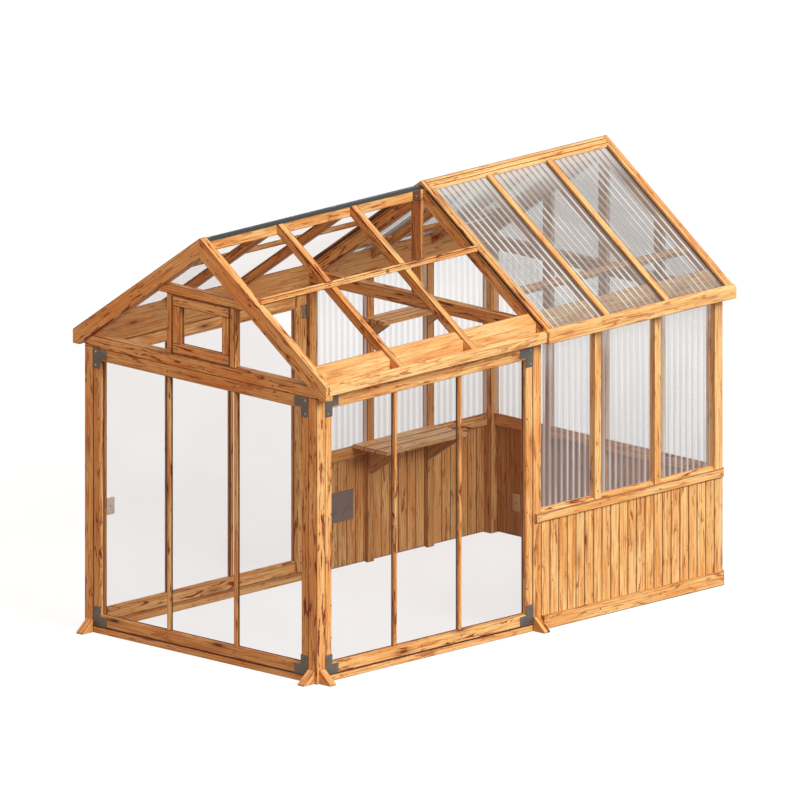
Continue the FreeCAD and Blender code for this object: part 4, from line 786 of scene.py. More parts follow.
def named_value(tree, name, kind="FLOAT_VECTOR"):
    return add_node(tree, "GeometryNodeInputNamedAttribute", {"Name": name}, data_type=kind).outputs[0]


def on_points(tree, points, instance, rotation):
    placed = add_node(tree, "GeometryNodeInstanceOnPoints",
                      {"Points": points, "Instance": instance, "Rotation": rotation})
    return placed.outputs[0]


def end_tree(tree, made, wanted, *finishes):
    """Make the instances real and set each finish on its faces, because the export drops instances."""
    result = add_node(tree, "GeometryNodeRealizeInstances", {"Geometry": made}).outputs[0]
    for chosen, finish in finishes:
        result = add_node(tree, "GeometryNodeSetMaterial",
                          {"Geometry": result, "Selection": chosen, "Material": finish}).outputs[0]
    tree.links.new(result, wanted[0])


FINISH = "NodeSocketMaterial"
NUMBER = "NodeSocketInt"
print("Trees take", FINISH, "and", NUMBER, "too")

# %% A flat grid bent into waves
WAVE_STEPS = 10


def waves(tree, given):
    columns = math_node(tree, "MULTIPLY_ADD", given["Waves"], WAVE_STEPS, 1)
    grid = add_node(tree, "GeometryNodeMeshGrid", {"Size X": given["Length"], "Size Y": given["Width"],
                                                   "Vertices X": 2, "Vertices Y": columns})
    climb, across = split(tree, add_node(tree, "GeometryNodeInputPosition").outputs[0])[:2]
    share = math_node(tree, "ADD", math_node(tree, "DIVIDE", across, given["Width"]), 0.5)
    phase = times(tree, share, given["Waves"])
    run = math_node(tree, "ADD", math_node(tree, "DIVIDE", climb, given["Length"]), 0.5)
    both = add_node(tree, "ShaderNodeCombineXYZ", {"X": phase, "Y": run}).outputs[0]
    stored = add_node(tree, "GeometryNodeStoreNamedAttribute",
                      {"Geometry": grid.outputs["Mesh"], "Name": "sheet", "Value": both},
                      data_type="FLOAT_VECTOR", domain="POINT")
    swing = math_node(tree, "COSINE", times(tree, phase, FULL_TURN))
    room = math_node(tree, "SUBTRACT", given["Depth"], given["Thickness"])
    depth = times(tree, math_node(tree, "SUBTRACT", 1.0, swing), times(tree, room, 0.5))
    lift = add_node(tree, "ShaderNodeCombineXYZ", {"Z": depth}).outputs[0]
    moved = add_node(tree, "GeometryNodeSetPosition", {"Geometry": stored.outputs[0], "Offset": lift})
    return moved.outputs[0]


print("A wave has", WAVE_STEPS, "steps")

# %% Tree of a waved sheet
WELD = 0.01*MM
BROAD = 0.3


def thickened(tree, sheet, thickness):
    """Lift a copy of the sheet by its thickness, turn the sheet round and weld the two."""
    top = add_node(tree, "GeometryNodeExtrudeMesh",
                   {"Mesh": sheet, "Offset": (0, 0, 1), "Offset Scale": thickness, "Individual": False},
                   mode="FACES")
    under = add_node(tree, "GeometryNodeFlipFaces", {"Mesh": sheet})
    both = joined(tree, top.outputs["Mesh"], under.outputs[0])
    return add_node(tree, "GeometryNodeMergeByDistance", {"Geometry": both, "Distance": WELD}).outputs[0]


def wave_tree():
    tree, given, wanted = geometry_tree("waved sheet", [
        ("Width", VALUE), ("Length", VALUE), ("Waves", NUMBER), ("Depth", VALUE), ("Thickness", VALUE),
        ("Finish", FINISH)])
    closed = thickened(tree, waves(tree, given), given["Thickness"])
    lean = math_node(tree, "ABSOLUTE", split(tree, add_node(tree, "GeometryNodeInputNormal").outputs[0])[Z])
    broad = math_node(tree, "GREATER_THAN", lean, BROAD)
    smooth = add_node(tree, "GeometryNodeSetShadeSmooth", {"Geometry": closed, "Selection": broad})
    spin = add_node(tree, "FunctionNodeEulerToRotation", {0: named_value(tree, "turn")})
    placed = on_points(tree, given["Geometry"], smooth.outputs[0], spin.outputs[0])
    end_tree(tree, placed, wanted, (True, given["Finish"]))
    return tree


waved_sheet = wave_tree()
print("Waved sheet tree has", len(waved_sheet.nodes), "nodes")


# %% Grow a tree on a base mesh
def base_mesh(name, points, edges=(), **vectors):
    """Loose points and edges, with a vector attribute for each further name."""
    mesh = bpy.data.meshes.new(name)
    mesh.from_pydata([tuple(point) for point in points], list(edges), [])
    for label, values in vectors.items():
        store(mesh, label, "FLOAT_VECTOR", [part for value in values for part in value])
    return mesh


def grown(name, base, tree, **values):
    """Run a tree on a base mesh and keep the result as a plain mesh."""
    holder = place_in_scene(name + "_points", base)
    modifier = holder.modifiers.new("grow", "NODES")
    modifier.node_group = tree
    for item in tree.interface.items_tree:
        label = item.name.replace(" ", "_").lower()
        if item.in_out == "INPUT" and label in values:
            modifier[item.identifier] = values[label]
    bpy.context.view_layer.update()
    solid = holder.evaluated_get(bpy.context.evaluated_depsgraph_get())
    mesh = bpy.data.meshes.new_from_object(solid)
    mesh.name = name
    holder.modifiers.clear()
    bpy.data.objects.remove(holder)
    print(name, "has", len(mesh.polygons), "faces")
    return place_in_scene(name, mesh)


print("A modifier takes its values by the identifiers of the sockets")

# %% Painted highlights along the crests
HIGHLIGHT_LAG = 0.9
PATCH_REPEATS = (3, 5, 2)
PATCH_LIMITS = (0.38, 0.6)
FULL_HIGHLIGHT = 0.85
WIDE_LIMITS, WIDE_RANGE = (-0.6, 0.5), (0.3, 1.0)
TOP_ZONE = (0.68, 1.0)
MIDDLE_ZONE = (-0.05, 0.05)


def painted_crest_highlights(tree, phase, run, spot, line_start, least_line, top_lines, left_lines):
    """Painted highlights: thin lines that come and go, wide ones near the top, all weaker on the left side,
    away from the light.
    """
    late = math_node(tree, "COSINE", math_node(tree, "MULTIPLY_ADD", phase, FULL_TURN, HIGHLIGHT_LAG))
    patch = noise_node(tree, vector_node(tree, "MULTIPLY", spot, PATCH_REPEATS), 1.0)
    thin_highlight = times(tree, ramp_node(tree, late, line_start, 1.0),
                      ramp_node(tree, patch, *PATCH_LIMITS, least_line, FULL_HIGHLIGHT))
    wide_highlight = times(tree, ramp_node(tree, late, *WIDE_LIMITS, *WIDE_RANGE),
                      ramp_node(tree, run, *TOP_ZONE, 0.0, top_lines))
    side = ramp_node(tree, split(tree, spot)[X], *MIDDLE_ZONE, left_lines, 1.0)
    return times(tree, math_node(tree, "MAXIMUM", thin_highlight, wide_highlight), side)


print("The lines lie", round(math.degrees(HIGHLIGHT_LAG)), "degrees beside the crests")

# %% Finish of the corrugated sheets
# The sheet's lit colour is painted as a glow, in place of the light that falls on it
PAINTED_GLOW = 0.6
HIGHLIGHT_COLOUR = rgb(242, 241, 239)


def corrugated(name, veil, veil_alpha, highlight_alpha, lit_top_veil, shadow_share, **lines):
    """Clear sheet: a soft veil, thinned towards its top as painted light, with painted highlights; part of
    its lit colour glows.
    """
    material, tree, shader = new_material(name)
    phase, run = split(tree, attribute_node(tree, "sheet"))[:2]
    highlight = painted_crest_highlights(tree, phase, run, object_place(tree), **lines)
    swing = math_node(tree, "COSINE", times(tree, phase, FULL_TURN))
    # Painted light: the veil thins towards the top, which looks brighter
    cover = times(tree, ramp_node(tree, swing, -1.0, 1.0, *veil_alpha),
                  ramp_node(tree, run, 1.0, 0.0, lit_top_veil, 1.0))
    alpha = math_node(tree, "MULTIPLY_ADD", highlight, math_node(tree, "SUBTRACT", highlight_alpha, cover), cover)
    shadow = add_node(tree, "ShaderNodeLightPath").outputs["Is Shadow Ray"]
    tree.links.new(times(tree, alpha, ramp_node(tree, shadow, 0.0, 1.0, 1.0, shadow_share)), shader["Alpha"])
    # Painted highlights in a near-white colour
    colour = mix_node(tree, highlight, veil, HIGHLIGHT_COLOUR)
    tree.links.new(colour, shader["Emission Color"])
    tree.links.new(mix_node(tree, PAINTED_GLOW, colour, BLACK), shader["Base Color"])
    shader["Emission Strength"].default_value = PAINTED_GLOW
    shader["Roughness"].default_value = 0.35
    shader["Specular IOR Level"].default_value = 0.1
    return material


wall_sheet = corrugated("clear corrugated wall sheet", rgb(190, 190, 190), veil_alpha=(0.13, 0.32),
                        highlight_alpha=0.5, lit_top_veil=0.45, shadow_share=0.3,
                        line_start=0.66, least_line=0.3, top_lines=0.7, left_lines=0.5)
roof_sheet = corrugated("clear corrugated roof sheet", rgb(152, 148, 143), veil_alpha=(0.3, 0.43),
                        highlight_alpha=0.82, lit_top_veil=0.95, shadow_share=0.45,
                        line_start=0.58, least_line=0.25, top_lines=1.0, left_lines=0.15)
print("Sheets:", wall_sheet.name, "|", roof_sheet.name)

# %% Find the bays
CROSS_LIMIT = 0.5
LEAN_LIMIT = 0.2


def sheet_bays(node):
    """Foot, turn and size of each packed sheet; its length runs up the wall or the slope."""
    bays = []
    for solid in solids_of(node):
        along = upward(grain_axes(solid)[0])
        choices = [along.cross(side).normalized() for side in (RIGHT, REAR)
                   if along.cross(side).length > CROSS_LIMIT]
        face = min(choices, key=lambda axis: spread(solid, axis)[1] - spread(solid, axis)[0])
        middle = sum(((sum(spread(solid, axis))/2)*axis for axis in (along, face, face.cross(along))),
                     Vector())
        outside = face.z if abs(face.z) > LEAN_LIMIT else face.dot(middle)
        if outside < 0:
            face = -face
        side = face.cross(along)
        spans = [spread(solid, axis) for axis in (along, side, face)]
        foot = (sum(spans[0])/2)*along + (sum(spans[1])/2)*side + spans[2][0]*face
        turn = Matrix((along, side, face)).transposed().to_euler()
        bays.append((foot, turn, [high - low for low, high in spans]))
    return bays


window_bays = sheet_bays("window_sheets")
widest = max(size[1] for foot, turn, size in window_bays)
print(len(window_bays), "window bays, the widest", round(widest, 3), "m")

# %% Fill the bays
SHEET_THICK = 1.2*MM
NARROW_SHARE = 0.95


def fill_bays(name, node, bays, wave_count, finish):
    length, width, depth = bays[0][2]
    base = base_mesh(name, [foot for foot, turn, size in bays], turn=[turn for foot, turn, size in bays])
    piece = grown(name, base, waved_sheet, width=width, length=length, waves=wave_count, depth=depth,
                  thickness=SHEET_THICK, finish=finish)
    settle(piece, "house", "corrugated_sheet", node)


side_bays = [bay for bay in window_bays if bay[2][1] > NARROW_SHARE*widest]
rear_bays = [bay for bay in window_bays if bay[2][1] <= NARROW_SHARE*widest]
fill_bays("waved_side_windows", "window_sheets", side_bays, 9, wall_sheet)
fill_bays("waved_rear_windows", "window_sheets", rear_bays, 8, wall_sheet)
fill_bays("waved_roof_sheets", "roof_sheets", sheet_bays("roof_sheets"), 10, roof_sheet)
dress("rear_gable_sheets", wall_sheet)
print(len(side_bays), "side bays,", len(rear_bays), "rear bays; the gable sheets keep their solids")

# %% [markdown]
# ## Screws
# Hundreds of screws hold such a house, and they differ only in place and in the turn of their
# recess. A second tree sets one low-faced screw head on every point of a list. Each point carries
# the direction that its head looks in. The lists come from the boxes of the pieces that the screws
# hold, so they move with the part, apart from a few heights that the photograph gives.

# %% One screw head
HEAD_SIDES = 12
HEAD_TOP = 0.72
ARM_LENGTH, ARM_WIDTH, ARM_DEPTH = 0.95, 0.24, 0.25


def screw_head(tree, radius, height):
    """A low cone with a cross on its top; the faces of the cross are marked as its recess."""
    cone = add_node(tree, "GeometryNodeMeshCone",
                    {"Vertices": HEAD_SIDES, "Radius Top": times(tree, radius, HEAD_TOP),
                     "Radius Bottom": radius, "Depth": height})
    long_arm = times(tree, radius, ARM_LENGTH)
    short_arm = times(tree, radius, ARM_WIDTH)
    rise = times(tree, height, ARM_DEPTH)
    arms = []
    for length, width in ((long_arm, short_arm), (short_arm, long_arm)):
        size = add_node(tree, "ShaderNodeCombineXYZ", {"X": length, "Y": width, "Z": rise})
        arms.append(add_node(tree, "GeometryNodeMeshCube", {"Size": size.outputs[0]}).outputs["Mesh"])
    top = add_node(tree, "ShaderNodeCombineXYZ", {"Z": height}).outputs[0]
    raised = add_node(tree, "GeometryNodeTransform", {"Geometry": joined(tree, *arms), "Translation": top})
    cross = add_node(tree, "GeometryNodeStoreNamedAttribute",
                     {"Geometry": raised.outputs[0], "Name": "recess", "Value": True},
                     data_type="BOOLEAN", domain="FACE")
    return joined(tree, cone.outputs["Mesh"], cross.outputs[0])


print("A head has", HEAD_SIDES, "sides")


# %% Tree of the screw heads
def screw_tree():
    tree, given, wanted = geometry_tree("screw heads", [
        ("Head Radius", VALUE), ("Head Height", VALUE), ("Head Finish", FINISH), ("Recess Finish", FINISH),
        ("Seed", NUMBER)])
    head = screw_head(tree, given["Head Radius"], given["Head Height"])
    aimed = add_node(tree, "FunctionNodeAlignRotationToVector", {"Vector": named_value(tree, "facing")},
                     axis="Z")
    angle = add_node(tree, "FunctionNodeRandomValue", {2: 0.0, 3: math.pi, "Seed": given["Seed"]},
                     data_type="FLOAT").outputs[1]
    own_turn = add_node(tree, "FunctionNodeAxisAngleToRotation", {"Angle": angle})
    spun = add_node(tree, "FunctionNodeRotateRotation",
                    {"Rotation": aimed.outputs[0], "Rotate By": own_turn.outputs[0]}, rotation_space="LOCAL")
    placed = on_points(tree, given["Geometry"], head, spun.outputs[0])
    end_tree(tree, placed, wanted, (True, given["Head Finish"]),
             (named_value(tree, "recess", "BOOLEAN"), given["Recess Finish"]))
    return tree


screw_heads = screw_tree()
print("Screw tree has", len(screw_heads.nodes), "nodes")

# %% Note a screw
SCREW_SINK = 0.2*MM
screw_lists = {}


def screw(kind, body, place, facing):
    """Add a screw to the list of its kind and body; facing is where its head looks."""
    places, facings = screw_lists.setdefault((kind, body), ([], []))
    normal = Vector(facing).normalized()
    places.append(Vector(place) - SCREW_SINK*normal)
    facings.append(tuple(normal))


def screw_count():
    return sum(len(places) for places, facings in screw_lists.values())


def wall_point(run, along, depth, height):
    """A point on a wall that runs along X or Y; its depth is measured along the other of the two."""
    point = Vector((0, 0, height))
    point[run] = along
    point[1 - run] = depth
    return point


def face_at(low, high, axis, out):
    """The side of a box that looks out along an axis."""
    return high[axis] if out > 0 else low[axis]


print("Heads sink", SCREW_SINK/MM, "mm into the timber")

# %% Rail screws
WALLS = {
    "front_panel_frame": ("front_panel_glass", X, -1, "house"),
    "right_panel_frame": ("right_panel_glass", Y, 1, "house"),
    "door_frame": ("door_glass", Y, -1, "door"),
}
RAIL_SCREW_UP = 31*MM
RAIL_SCREW_DOWN = 36*MM


def bar_centres(glass, run):
    """Middles of the glazing bars, which stand between the panes."""
    panes = sorted(solid_boxes(glass), key=lambda pane: pane[0][run])
    return [(before[1][run] + after[0][run])/2 for before, after in zip(panes, panes[1:])]


for node, (glass, run, out, body) in WALLS.items():
    low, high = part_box(node)
    outward = out*AXES[1 - run]
    for centre in bar_centres(glass, run):
        for height in (low.z + RAIL_SCREW_UP, high.z - RAIL_SCREW_DOWN):
            screw("dark", body, wall_point(run, centre, face_at(low, high, 1 - run, out), height), outward)
            screw("dark", body, wall_point(run, centre, face_at(low, high, 1 - run, -out), height), -outward)
print("With the rails:", screw_count(), "screws")

# %% Bracket screws
CORNER_INSET = 15*MM
ARM_INSET = 84*MM
HIGH_LIMIT = 1.0


def bracket_screws(node, body):
    """Two screws on each corner plate: in its corner and up its upright arm."""
    for solid in solids_of(node):
        plate = max(solid.faces, key=lambda face: face.calc_area())
        depth = max((X, Y, Z), key=lambda axis: abs(plate.normal[axis]))
        run = 1 - depth
        centre = plate.calc_center_median_weighted()
        low, high = box_of(solid)
        out = 1 if low[depth] + high[depth] > 0 else -1
        corner = {}
        sense = {}
        for axis in (run, Z):
            sense[axis] = 1 if centre[axis] < (low[axis] + high[axis])/2 else -1
            corner[axis] = face_at(low, high, axis, -sense[axis])
        kind = "pale" if corner[Z] > HIGH_LIMIT else "dark"
        for rise in (CORNER_INSET, ARM_INSET):
            place = wall_point(run, corner[run] + sense[run]*CORNER_INSET, face_at(low, high, depth, out),
                               corner[Z] + sense[Z]*rise)
            screw(kind, body, place, out*AXES[depth])


bracket_screws("corner_brackets", "house")
bracket_screws("door_brackets", "door")
print("With the corner plates:", screw_count(), "screws")

# %% Ledge and skirting screws
LEDGE_END = 18*MM
COUNTERSINK = 1.7*MM
STUD_LIMIT = 0.1
REAR_ZONE = 0.06

studs = solid_boxes("wall_studs")
rear_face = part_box("post_rear_right")[1].y
side_studs = [(low, high) for low, high in studs if high.y - low.y < STUD_LIMIT and high.x > SIDE_LIMIT]
rear_studs = [(low, high) for low, high in studs
              if high.y > rear_face - REAR_ZONE and high.x - low.x < STUD_LIMIT and abs(high.x) < SIDE_LIMIT]
stud_middles = {X: sorted({round((low.x + high.x)/2, 4) for low, high in rear_studs}),
                Y: sorted({round((low.y + high.y)/2, 4) for low, high in side_studs})}
for node in ("ledge_rails", "skirting_boards"):
    for low, high in solid_boxes(node):
        middle = (low + high)/2
        run = X if high.x - low.x > high.y - low.y else Y
        for place in (low[run] + LEDGE_END, *stud_middles[run], high[run] - LEDGE_END):
            if run == X:
                screw("dark", "house", (place, high.y - COUNTERSINK, middle.z), REAR)
            else:
                side = 1 if middle.x > 0 else -1
                screw("dark", "house", (face_at(low, high, X, side), place, middle.z), side*RIGHT)
print("With the ledges and skirtings:", screw_count(), "screws")

# %% Vent, gable and tie beam screws
PITCH = math.radians(35)
SASH_RISE = 25*MM
SASH_INSETS = (14*MM, 33*MM)
GABLE_SCREWS = ((0.785, 28*MM), (0.06, 60*MM), (0.42, 52*MM))
TIE_SCREWS = (-0.45, 0.02, 0.5)
TIE_RISE = 18*MM

sash_low, sash_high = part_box("vent_sash")
for edge in (sash_low.x, sash_high.x):
    inward = 1 if edge < 0 else -1
    for height in (sash_low.z + SASH_RISE, sash_high.z - SASH_RISE):
        for inset in SASH_INSETS:
            screw("dark", "vent", (edge + inward*inset, sash_low.y, height), -REAR)

gable_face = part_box("gable_rafters")[0].y
front_top = max(high.z for low, high in solid_boxes("gable_rafters") if low.y < 0)
for side in (-1, 1):
    for reach, drop in GABLE_SCREWS:
        screw("dark", "house", (side*reach, gable_face, front_top - reach*math.tan(PITCH) - drop), -REAR)

tie_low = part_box("tie_beam_front")[0]
for place in TIE_SCREWS:
    screw("dark", "house", (place, tie_low.y, tie_low.z + TIE_RISE), -REAR)
print("With the front gable:", screw_count(), "screws")

# %% Ridge cap and king post screws
CAP_SCREWS = 6
CAP_END = 22*MM
PLATE_SCREW = (18*MM, 2.109)
KING_SCREW = (12*MM, 2.007)

cap_low, cap_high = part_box("ridge_cap")
cap_step = (cap_high.y - cap_low.y - 2*CAP_END)/(CAP_SCREWS - 1)
for number in range(CAP_SCREWS):
    screw("pale", "house", (0, cap_low.y + CAP_END + number*cap_step, cap_high.z), UP)
screw("pale", "house", (beam_high.x + PLATE_SIZE[X], king_low.y - PLATE_SCREW[0], PLATE_SCREW[1]), RIGHT)
screw("pale", "house", (king_high.x, king_low.y + KING_SCREW[0], KING_SCREW[1]), RIGHT)
print("With the ridge:", screw_count(), "screws")

# %% Panel and plate screws
STILE_INSET = 42*MM
STILE_SCREWS = (0.225, 0.39, 0.62, 0.86, 1.1)

stile_low, stile_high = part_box("right_panel_frame")
for height in STILE_SCREWS:
    for place in (stile_low.y + STILE_INSET, stile_high.y - STILE_INSET):
        screw("dark", "house", (stile_high.x, place, height), RIGHT)

latch_low, latch_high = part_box("door_latch_plate")
latch_middle = (latch_low + latch_high)/2
screw("dark", "door", (latch_high.x, latch_middle.y, latch_middle.z), RIGHT)
cream_low, cream_high = solid_boxes("wall_cover_plates")[1]
cream_middle = (cream_low + cream_high)/2
screw("dark", "house", (cream_middle.x, cream_low.y, cream_middle.z), -REAR)
print("With the panel and the plates:", screw_count(), "screws")

# %% Door and hinge screws
DOOR_SCREWS = (1.406, 1.350, 0.146, 0.088)
LEAF_THICK = 2.5*MM
LEAF_INSET = 16*MM
LEAF_RISES = (-22*MM, 22*MM)

door_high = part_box("door_frame")[1]
for height in DOOR_SCREWS:
    screw("dark", "door", (door_high.x, door_high.y - STILE_INSET, height), RIGHT)
for low, high in solid_boxes("door_hinge_leaves"):
    for rise in LEAF_RISES:
        screw("pale", "door", (low.x + LEAF_THICK, low.y + LEAF_INSET, (low.z + high.z)/2 + rise), RIGHT)
print("With the door:", screw_count(), "screws")

# %% Shelf and stud screws
STUD_RISE = 22*MM

brackets = sorted({round((low.y + high.y)/2, 4) for low, high in solid_boxes("shelf_brackets")})
for node in ("lower_shelf", "upper_shelf"):
    for low, high in solid_boxes(node):
        for place in brackets:
            if low.y < place < high.y:
                screw("dark", "house", ((low.x + high.x)/2, place, high.z), UP)

sheet_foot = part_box("window_sheets")[0].z
for low, high in side_studs:
    screw("dark", "house", (high.x, (low.y + high.y)/2, sheet_foot + STUD_RISE), RIGHT)
print({f"{kind} {body}": len(places) for (kind, body), (places, facings) in screw_lists.items()})

# %% Drive the screws
screw_dark = painted("browned screw steel", (74, 52, 36), (110, 84, 60), 300.0, 0.6, 0.5, (0.4, 0.6))
screw_pale = painted("bright screw steel", (196, 190, 180), (140, 134, 124), 300.0, 0.6, 0.7, (0.3, 0.5))
screw_recess = painted("screw recess", (34, 26, 20), (50, 40, 32), 300.0, 0.5, 0.2, (0.6, 0.8))
HEADS = {"dark": (4.2*MM, 1.6*MM, screw_dark), "pale": (4.6*MM, 1.8*MM, screw_pale)}

for seed, ((kind, body), (places, facings)) in enumerate(sorted(screw_lists.items())):
    radius, height, finish = HEADS[kind]
    base = base_mesh(f"{kind}_{body}", places, facing=facings)
    piece = grown(f"{kind}_screws_{body}", base, screw_heads, head_radius=radius, head_height=height,
                  head_finish=finish, recess_finish=screw_recess, seed=seed)
    settle(piece, body, "zinc_steel")
print("Drove", screw_count(), "screws")

# %% [markdown]
# ## Glazing seals
# A thin dark seal runs round every pane where it meets the timber, and the photograph shows it as
# a fine line. A third tree turns edges into round lines. For the seals the edges are loops just
# inside the panes' own boxes, on both faces.

# %% Tree of a round line
LINE_SIDES = 6


def line_tree():
    tree, given, wanted = geometry_tree("round line", [("Radius", VALUE), ("Finish", FINISH)])
    path = add_node(tree, "GeometryNodeMeshToCurve", {"Mesh": given["Geometry"]})
    section = add_node(tree, "GeometryNodeCurvePrimitiveCircle",
                       {"Resolution": LINE_SIDES, "Radius": given["Radius"]})
    line = add_node(tree, "GeometryNodeCurveToMesh",
                    {"Curve": path.outputs[0], "Profile Curve": section.outputs[0]})
    end_tree(tree, line.outputs[0], wanted, (True, given["Finish"]))
    return tree


round_line = line_tree()
print("Round line tree has", len(round_line.nodes), "nodes")

# %% Seals round the panes
SEAL_RADIUS = 2.2*MM
SEAL_INSET = 8*MM
SEALED = {"house": (("front_panel_glass", X), ("right_panel_glass", Y)),
          "door": (("door_glass", Y),), "vent": (("vent_glass", X),)}


def pane_loops(panes):
    """Points and edges of a loop on each face of every pane."""
    points = []
    edges = []
    for node, run in panes:
        for low, high in solid_boxes(node):
            near, far = low[run] + SEAL_INSET, high[run] - SEAL_INSET
            bottom, top = low.z + SEAL_INSET, high.z - SEAL_INSET
            for depth in (low[1 - run], high[1 - run]):
                first = len(points)
                points += [wall_point(run, along, depth, height)
                           for along, height in ((near, bottom), (far, bottom), (far, top), (near, top))]
                edges += [(first + number, first + (number + 1) % 4) for number in range(4)]
    return points, edges


rubber = painted("brown glazing seal", (86, 66, 50), (120, 98, 78), 80.0, 0.6, 0.0, (0.5, 0.7))
for body, panes in SEALED.items():
    base = base_mesh("pane_loops", *pane_loops(panes))
    seals = grown(f"pane_seals_{body}", base, round_line, radius=SEAL_RADIUS, finish=rubber)
    settle(seals, body, "black_strip")
print("Sealed panes on", ", ".join(SEALED))

# %% [markdown]
# ## Joint lines
# Where two timbers lie side by side, shade darkens the joint, and it is painted as a dark line: a
# painted shadow. The same tree makes these: thin lines lie on a face, and thicker ones are sunk by
# half their radius, so that only a flat dark strip shows. They run along the rafters of the junction,
# the bar caps, the ridge boards and the battens, and along the foot of the front and right panels.

# %% Ends of the lines
LINE_RADIUS = 1.8*MM
GROOVE_RADIUS = 4.0*MM
GROOVE_SINK = 0.5*GROOVE_RADIUS
BOARD_END = 4*MM


def slope_line(solid, drop, sink, inset):
    """Ends of a line on the front face of a sloping timber, a given depth under its top."""
    along = upward(grain_axes(solid)[0])
    outward = upward(REAR.cross(along))
    depth = spread(solid, outward)[1] - drop
    low, high = spread(solid, along)
    front = spread(solid, REAR)[0] + sink
    return [place*along + depth*outward + front*REAR for place in (low + inset, high - inset)]


def face_line(solid, share):
    """Ends of a line along the upper face of a board, at a share of its width."""
    along, across, thick = grain_axes(solid)
    outward = upward(thick)
    start, end = spread(solid, along)
    low, high = spread(solid, across)
    raised = spread(solid, outward)[1]*outward + (low + share*(high - low))*across
    return [place*along + raised for place in (start + BOARD_END, end - BOARD_END)]


def batten_line(solid):
    """Ends of a line along the middle of a batten's upper face."""
    side = 1 if sum(spread(solid, RIGHT)) > 0 else -1
    outward = Vector((side*math.sin(PITCH), 0, math.cos(PITCH)))
    across = Vector((side*math.cos(PITCH), 0, -math.sin(PITCH)))
    raised = spread(solid, outward)[1]*outward + (sum(spread(solid, across))/2)*across
    return [raised + place*REAR for place in spread(solid, REAR)]


print("Grooves are sunk by", GROOVE_SINK/MM, "mm")

# %% Painted shadow lines and grooves of the joints
RAFTER_END = 60*MM
CAP_BAR_END = 12*MM
RAFTER_GROOVES = (9*MM, 15*MM)
RAFTER_LINE = 29*MM
REAR_GROOVE = 14*MM
BAR_GROOVE = 12*MM
BOARD_SHARES = (0.3, 0.7)

lines = []
grooves = []
for solid in solids_of("junction_rafters"):
    grooves += [slope_line(solid, drop, GROOVE_SINK, RAFTER_END) for drop in RAFTER_GROOVES]
    lines.append(slope_line(solid, RAFTER_LINE, 0, RAFTER_END))
for solid in solids_of("glazing_bar_caps"):
    grooves.append(slope_line(solid, BAR_GROOVE, GROOVE_SINK, CAP_BAR_END))
for solid in solids_of("gable_rafters"):
    if spread(solid, REAR)[0] > 0:
        grooves.append(slope_line(solid, REAR_GROOVE, GROOVE_SINK, RAFTER_END))
for solid in solids_of("ridge_boards"):
    lines += [face_line(solid, share) for share in BOARD_SHARES]
for solid in solids_of("roof_battens"):
    lines.append(batten_line(solid))
for node, (glass, run, out, body) in WALLS.items():
    if body == "house":
        low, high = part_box(node)
        depth = face_at(low, high, 1 - run, out) - out*GROOVE_SINK
        grooves.append([wall_point(run, corner[run], depth, low.z) for corner in (low, high)])
print(len(lines), "lines and", len(grooves), "grooves")

# %% Draw the painted joint shadows
# Dark lines and sunk strips: painted shadow in the gaps between timbers
joint_shadow = painted("painted joint shadow", (70, 32, 12), (92, 46, 18), 60.0, 0.5, 0.0, (0.7, 0.9))

for name, radius, pairs in (("joint_lines", LINE_RADIUS, lines), ("joint_grooves", GROOVE_RADIUS, grooves)):
    points = [point for pair in pairs for point in pair]
    base = base_mesh(name, points, [(first, first + 1) for first in range(0, len(points), 2)])
    settle(grown(name, base, round_line, radius=radius, finish=joint_shadow), "house", "honey_wood")
print("Joint lines and grooves ride on the house")

# %% [markdown]
# ## Floor and light
# The house stands on a plain floor. The key is a broad lamp from the right and above, which makes
# the right wall and the roof edges glow and leaves the gable calmer, as in the photograph. A weak
# warm lamp lifts the gable, and the world fills the shadows evenly. Floor and world show white to
# the camera, in reflections and through glass, while the house still shades the floor a little.


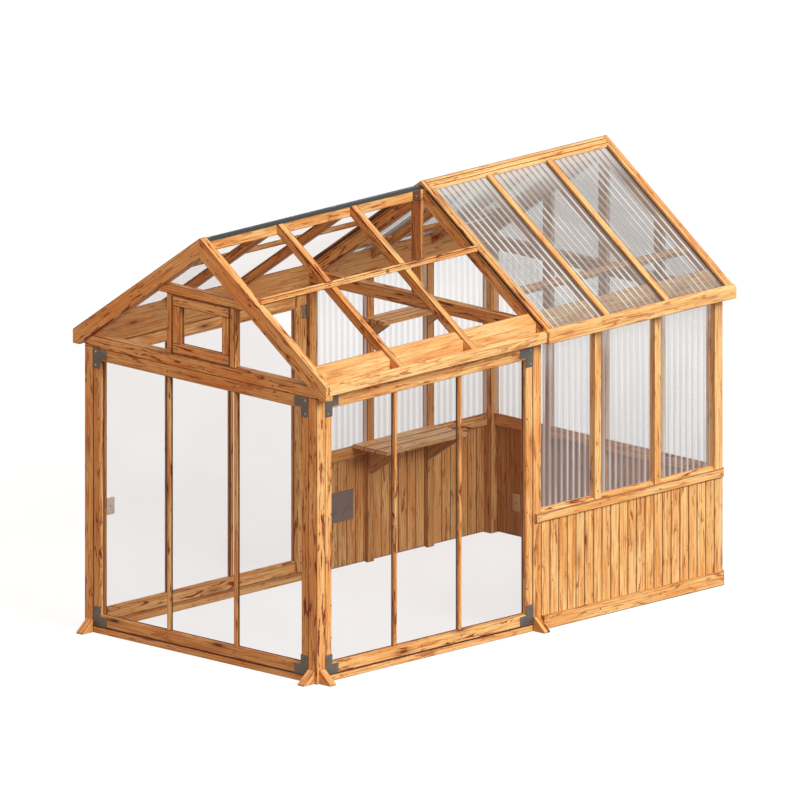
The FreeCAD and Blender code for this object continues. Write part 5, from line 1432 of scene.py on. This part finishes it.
# %% Floor
def in_view(tree):
    """1 for what the camera sees directly, in a reflection or through glass, and 0 for the rest."""
    rays = add_node(tree, "ShaderNodeLightPath").outputs
    through = math_node(tree, "MAXIMUM", rays["Is Glossy Ray"], rays["Is Transmission Ray"])
    return math_node(tree, "MAXIMUM", rays["Is Camera Ray"], through)


FLOOR_SIZE = 60.0
FLOOR_GREY = (0.14, 0.14, 0.14, 1)
FLOOR_GLOW = 0.92

reach = FLOOR_SIZE/2
floor_mesh = bpy.data.meshes.new("floor")
corners = [(-reach, -reach, -MM), (reach, -reach, -MM), (reach, reach, -MM), (-reach, reach, -MM)]
floor_mesh.from_pydata(corners, [], [(0, 1, 2, 3)])
floor = place_in_scene("floor", floor_mesh)
floor_paint, tree, shader = new_material("white floor")
shader["Base Color"].default_value = FLOOR_GREY
shader["Roughness"].default_value = 0.9
shader["Specular IOR Level"].default_value = 0.0
shader["Emission Color"].default_value = WHITE
tree.links.new(times(tree, in_view(tree), FLOOR_GLOW), shader["Emission Strength"])
floor_mesh.materials.append(floor_paint)
print("Floor of", round(FLOOR_SIZE), "m")

# %% World
FILL = 0.42
FILL_TINT = (1.0, 0.68, 0.46, 1.0)

world = bpy.data.worlds.new("studio")
world.use_nodes = True
bpy.context.scene.world = world
tree = world.node_tree
sky = tree.nodes["Background"].inputs
seen = in_view(tree)
tree.links.new(mix_node(tree, seen, FILL_TINT, WHITE), sky["Color"])
tree.links.new(ramp_node(tree, seen, 0.0, 1.0, FILL, 1.0), sky["Strength"])
print("The world fills with a strength of", FILL)


# %% Lamps
def sun(name, towards, strength, spread_angle, colour):
    """A soft distant lamp; towards points from the house to the lamp."""
    data = bpy.data.lights.new(name, "SUN")
    data.energy = strength
    data.angle = math.radians(spread_angle)
    data.color = colour
    place_in_scene(name, data).rotation_euler = Vector(towards).to_track_quat("Z", "Y").to_euler()


sun("key", (0.85, -0.04, 0.52), 3.05, 30, (0.96, 0.99, 1.0))
sun("front_fill", (-0.2, -1.0, 0.35), 0.57, 60, (1.0, 0.49, 0.25))
bpy.context.scene.view_settings.view_transform = "Standard"
print("Lamps:", [lamp.name for lamp in bpy.data.lights])
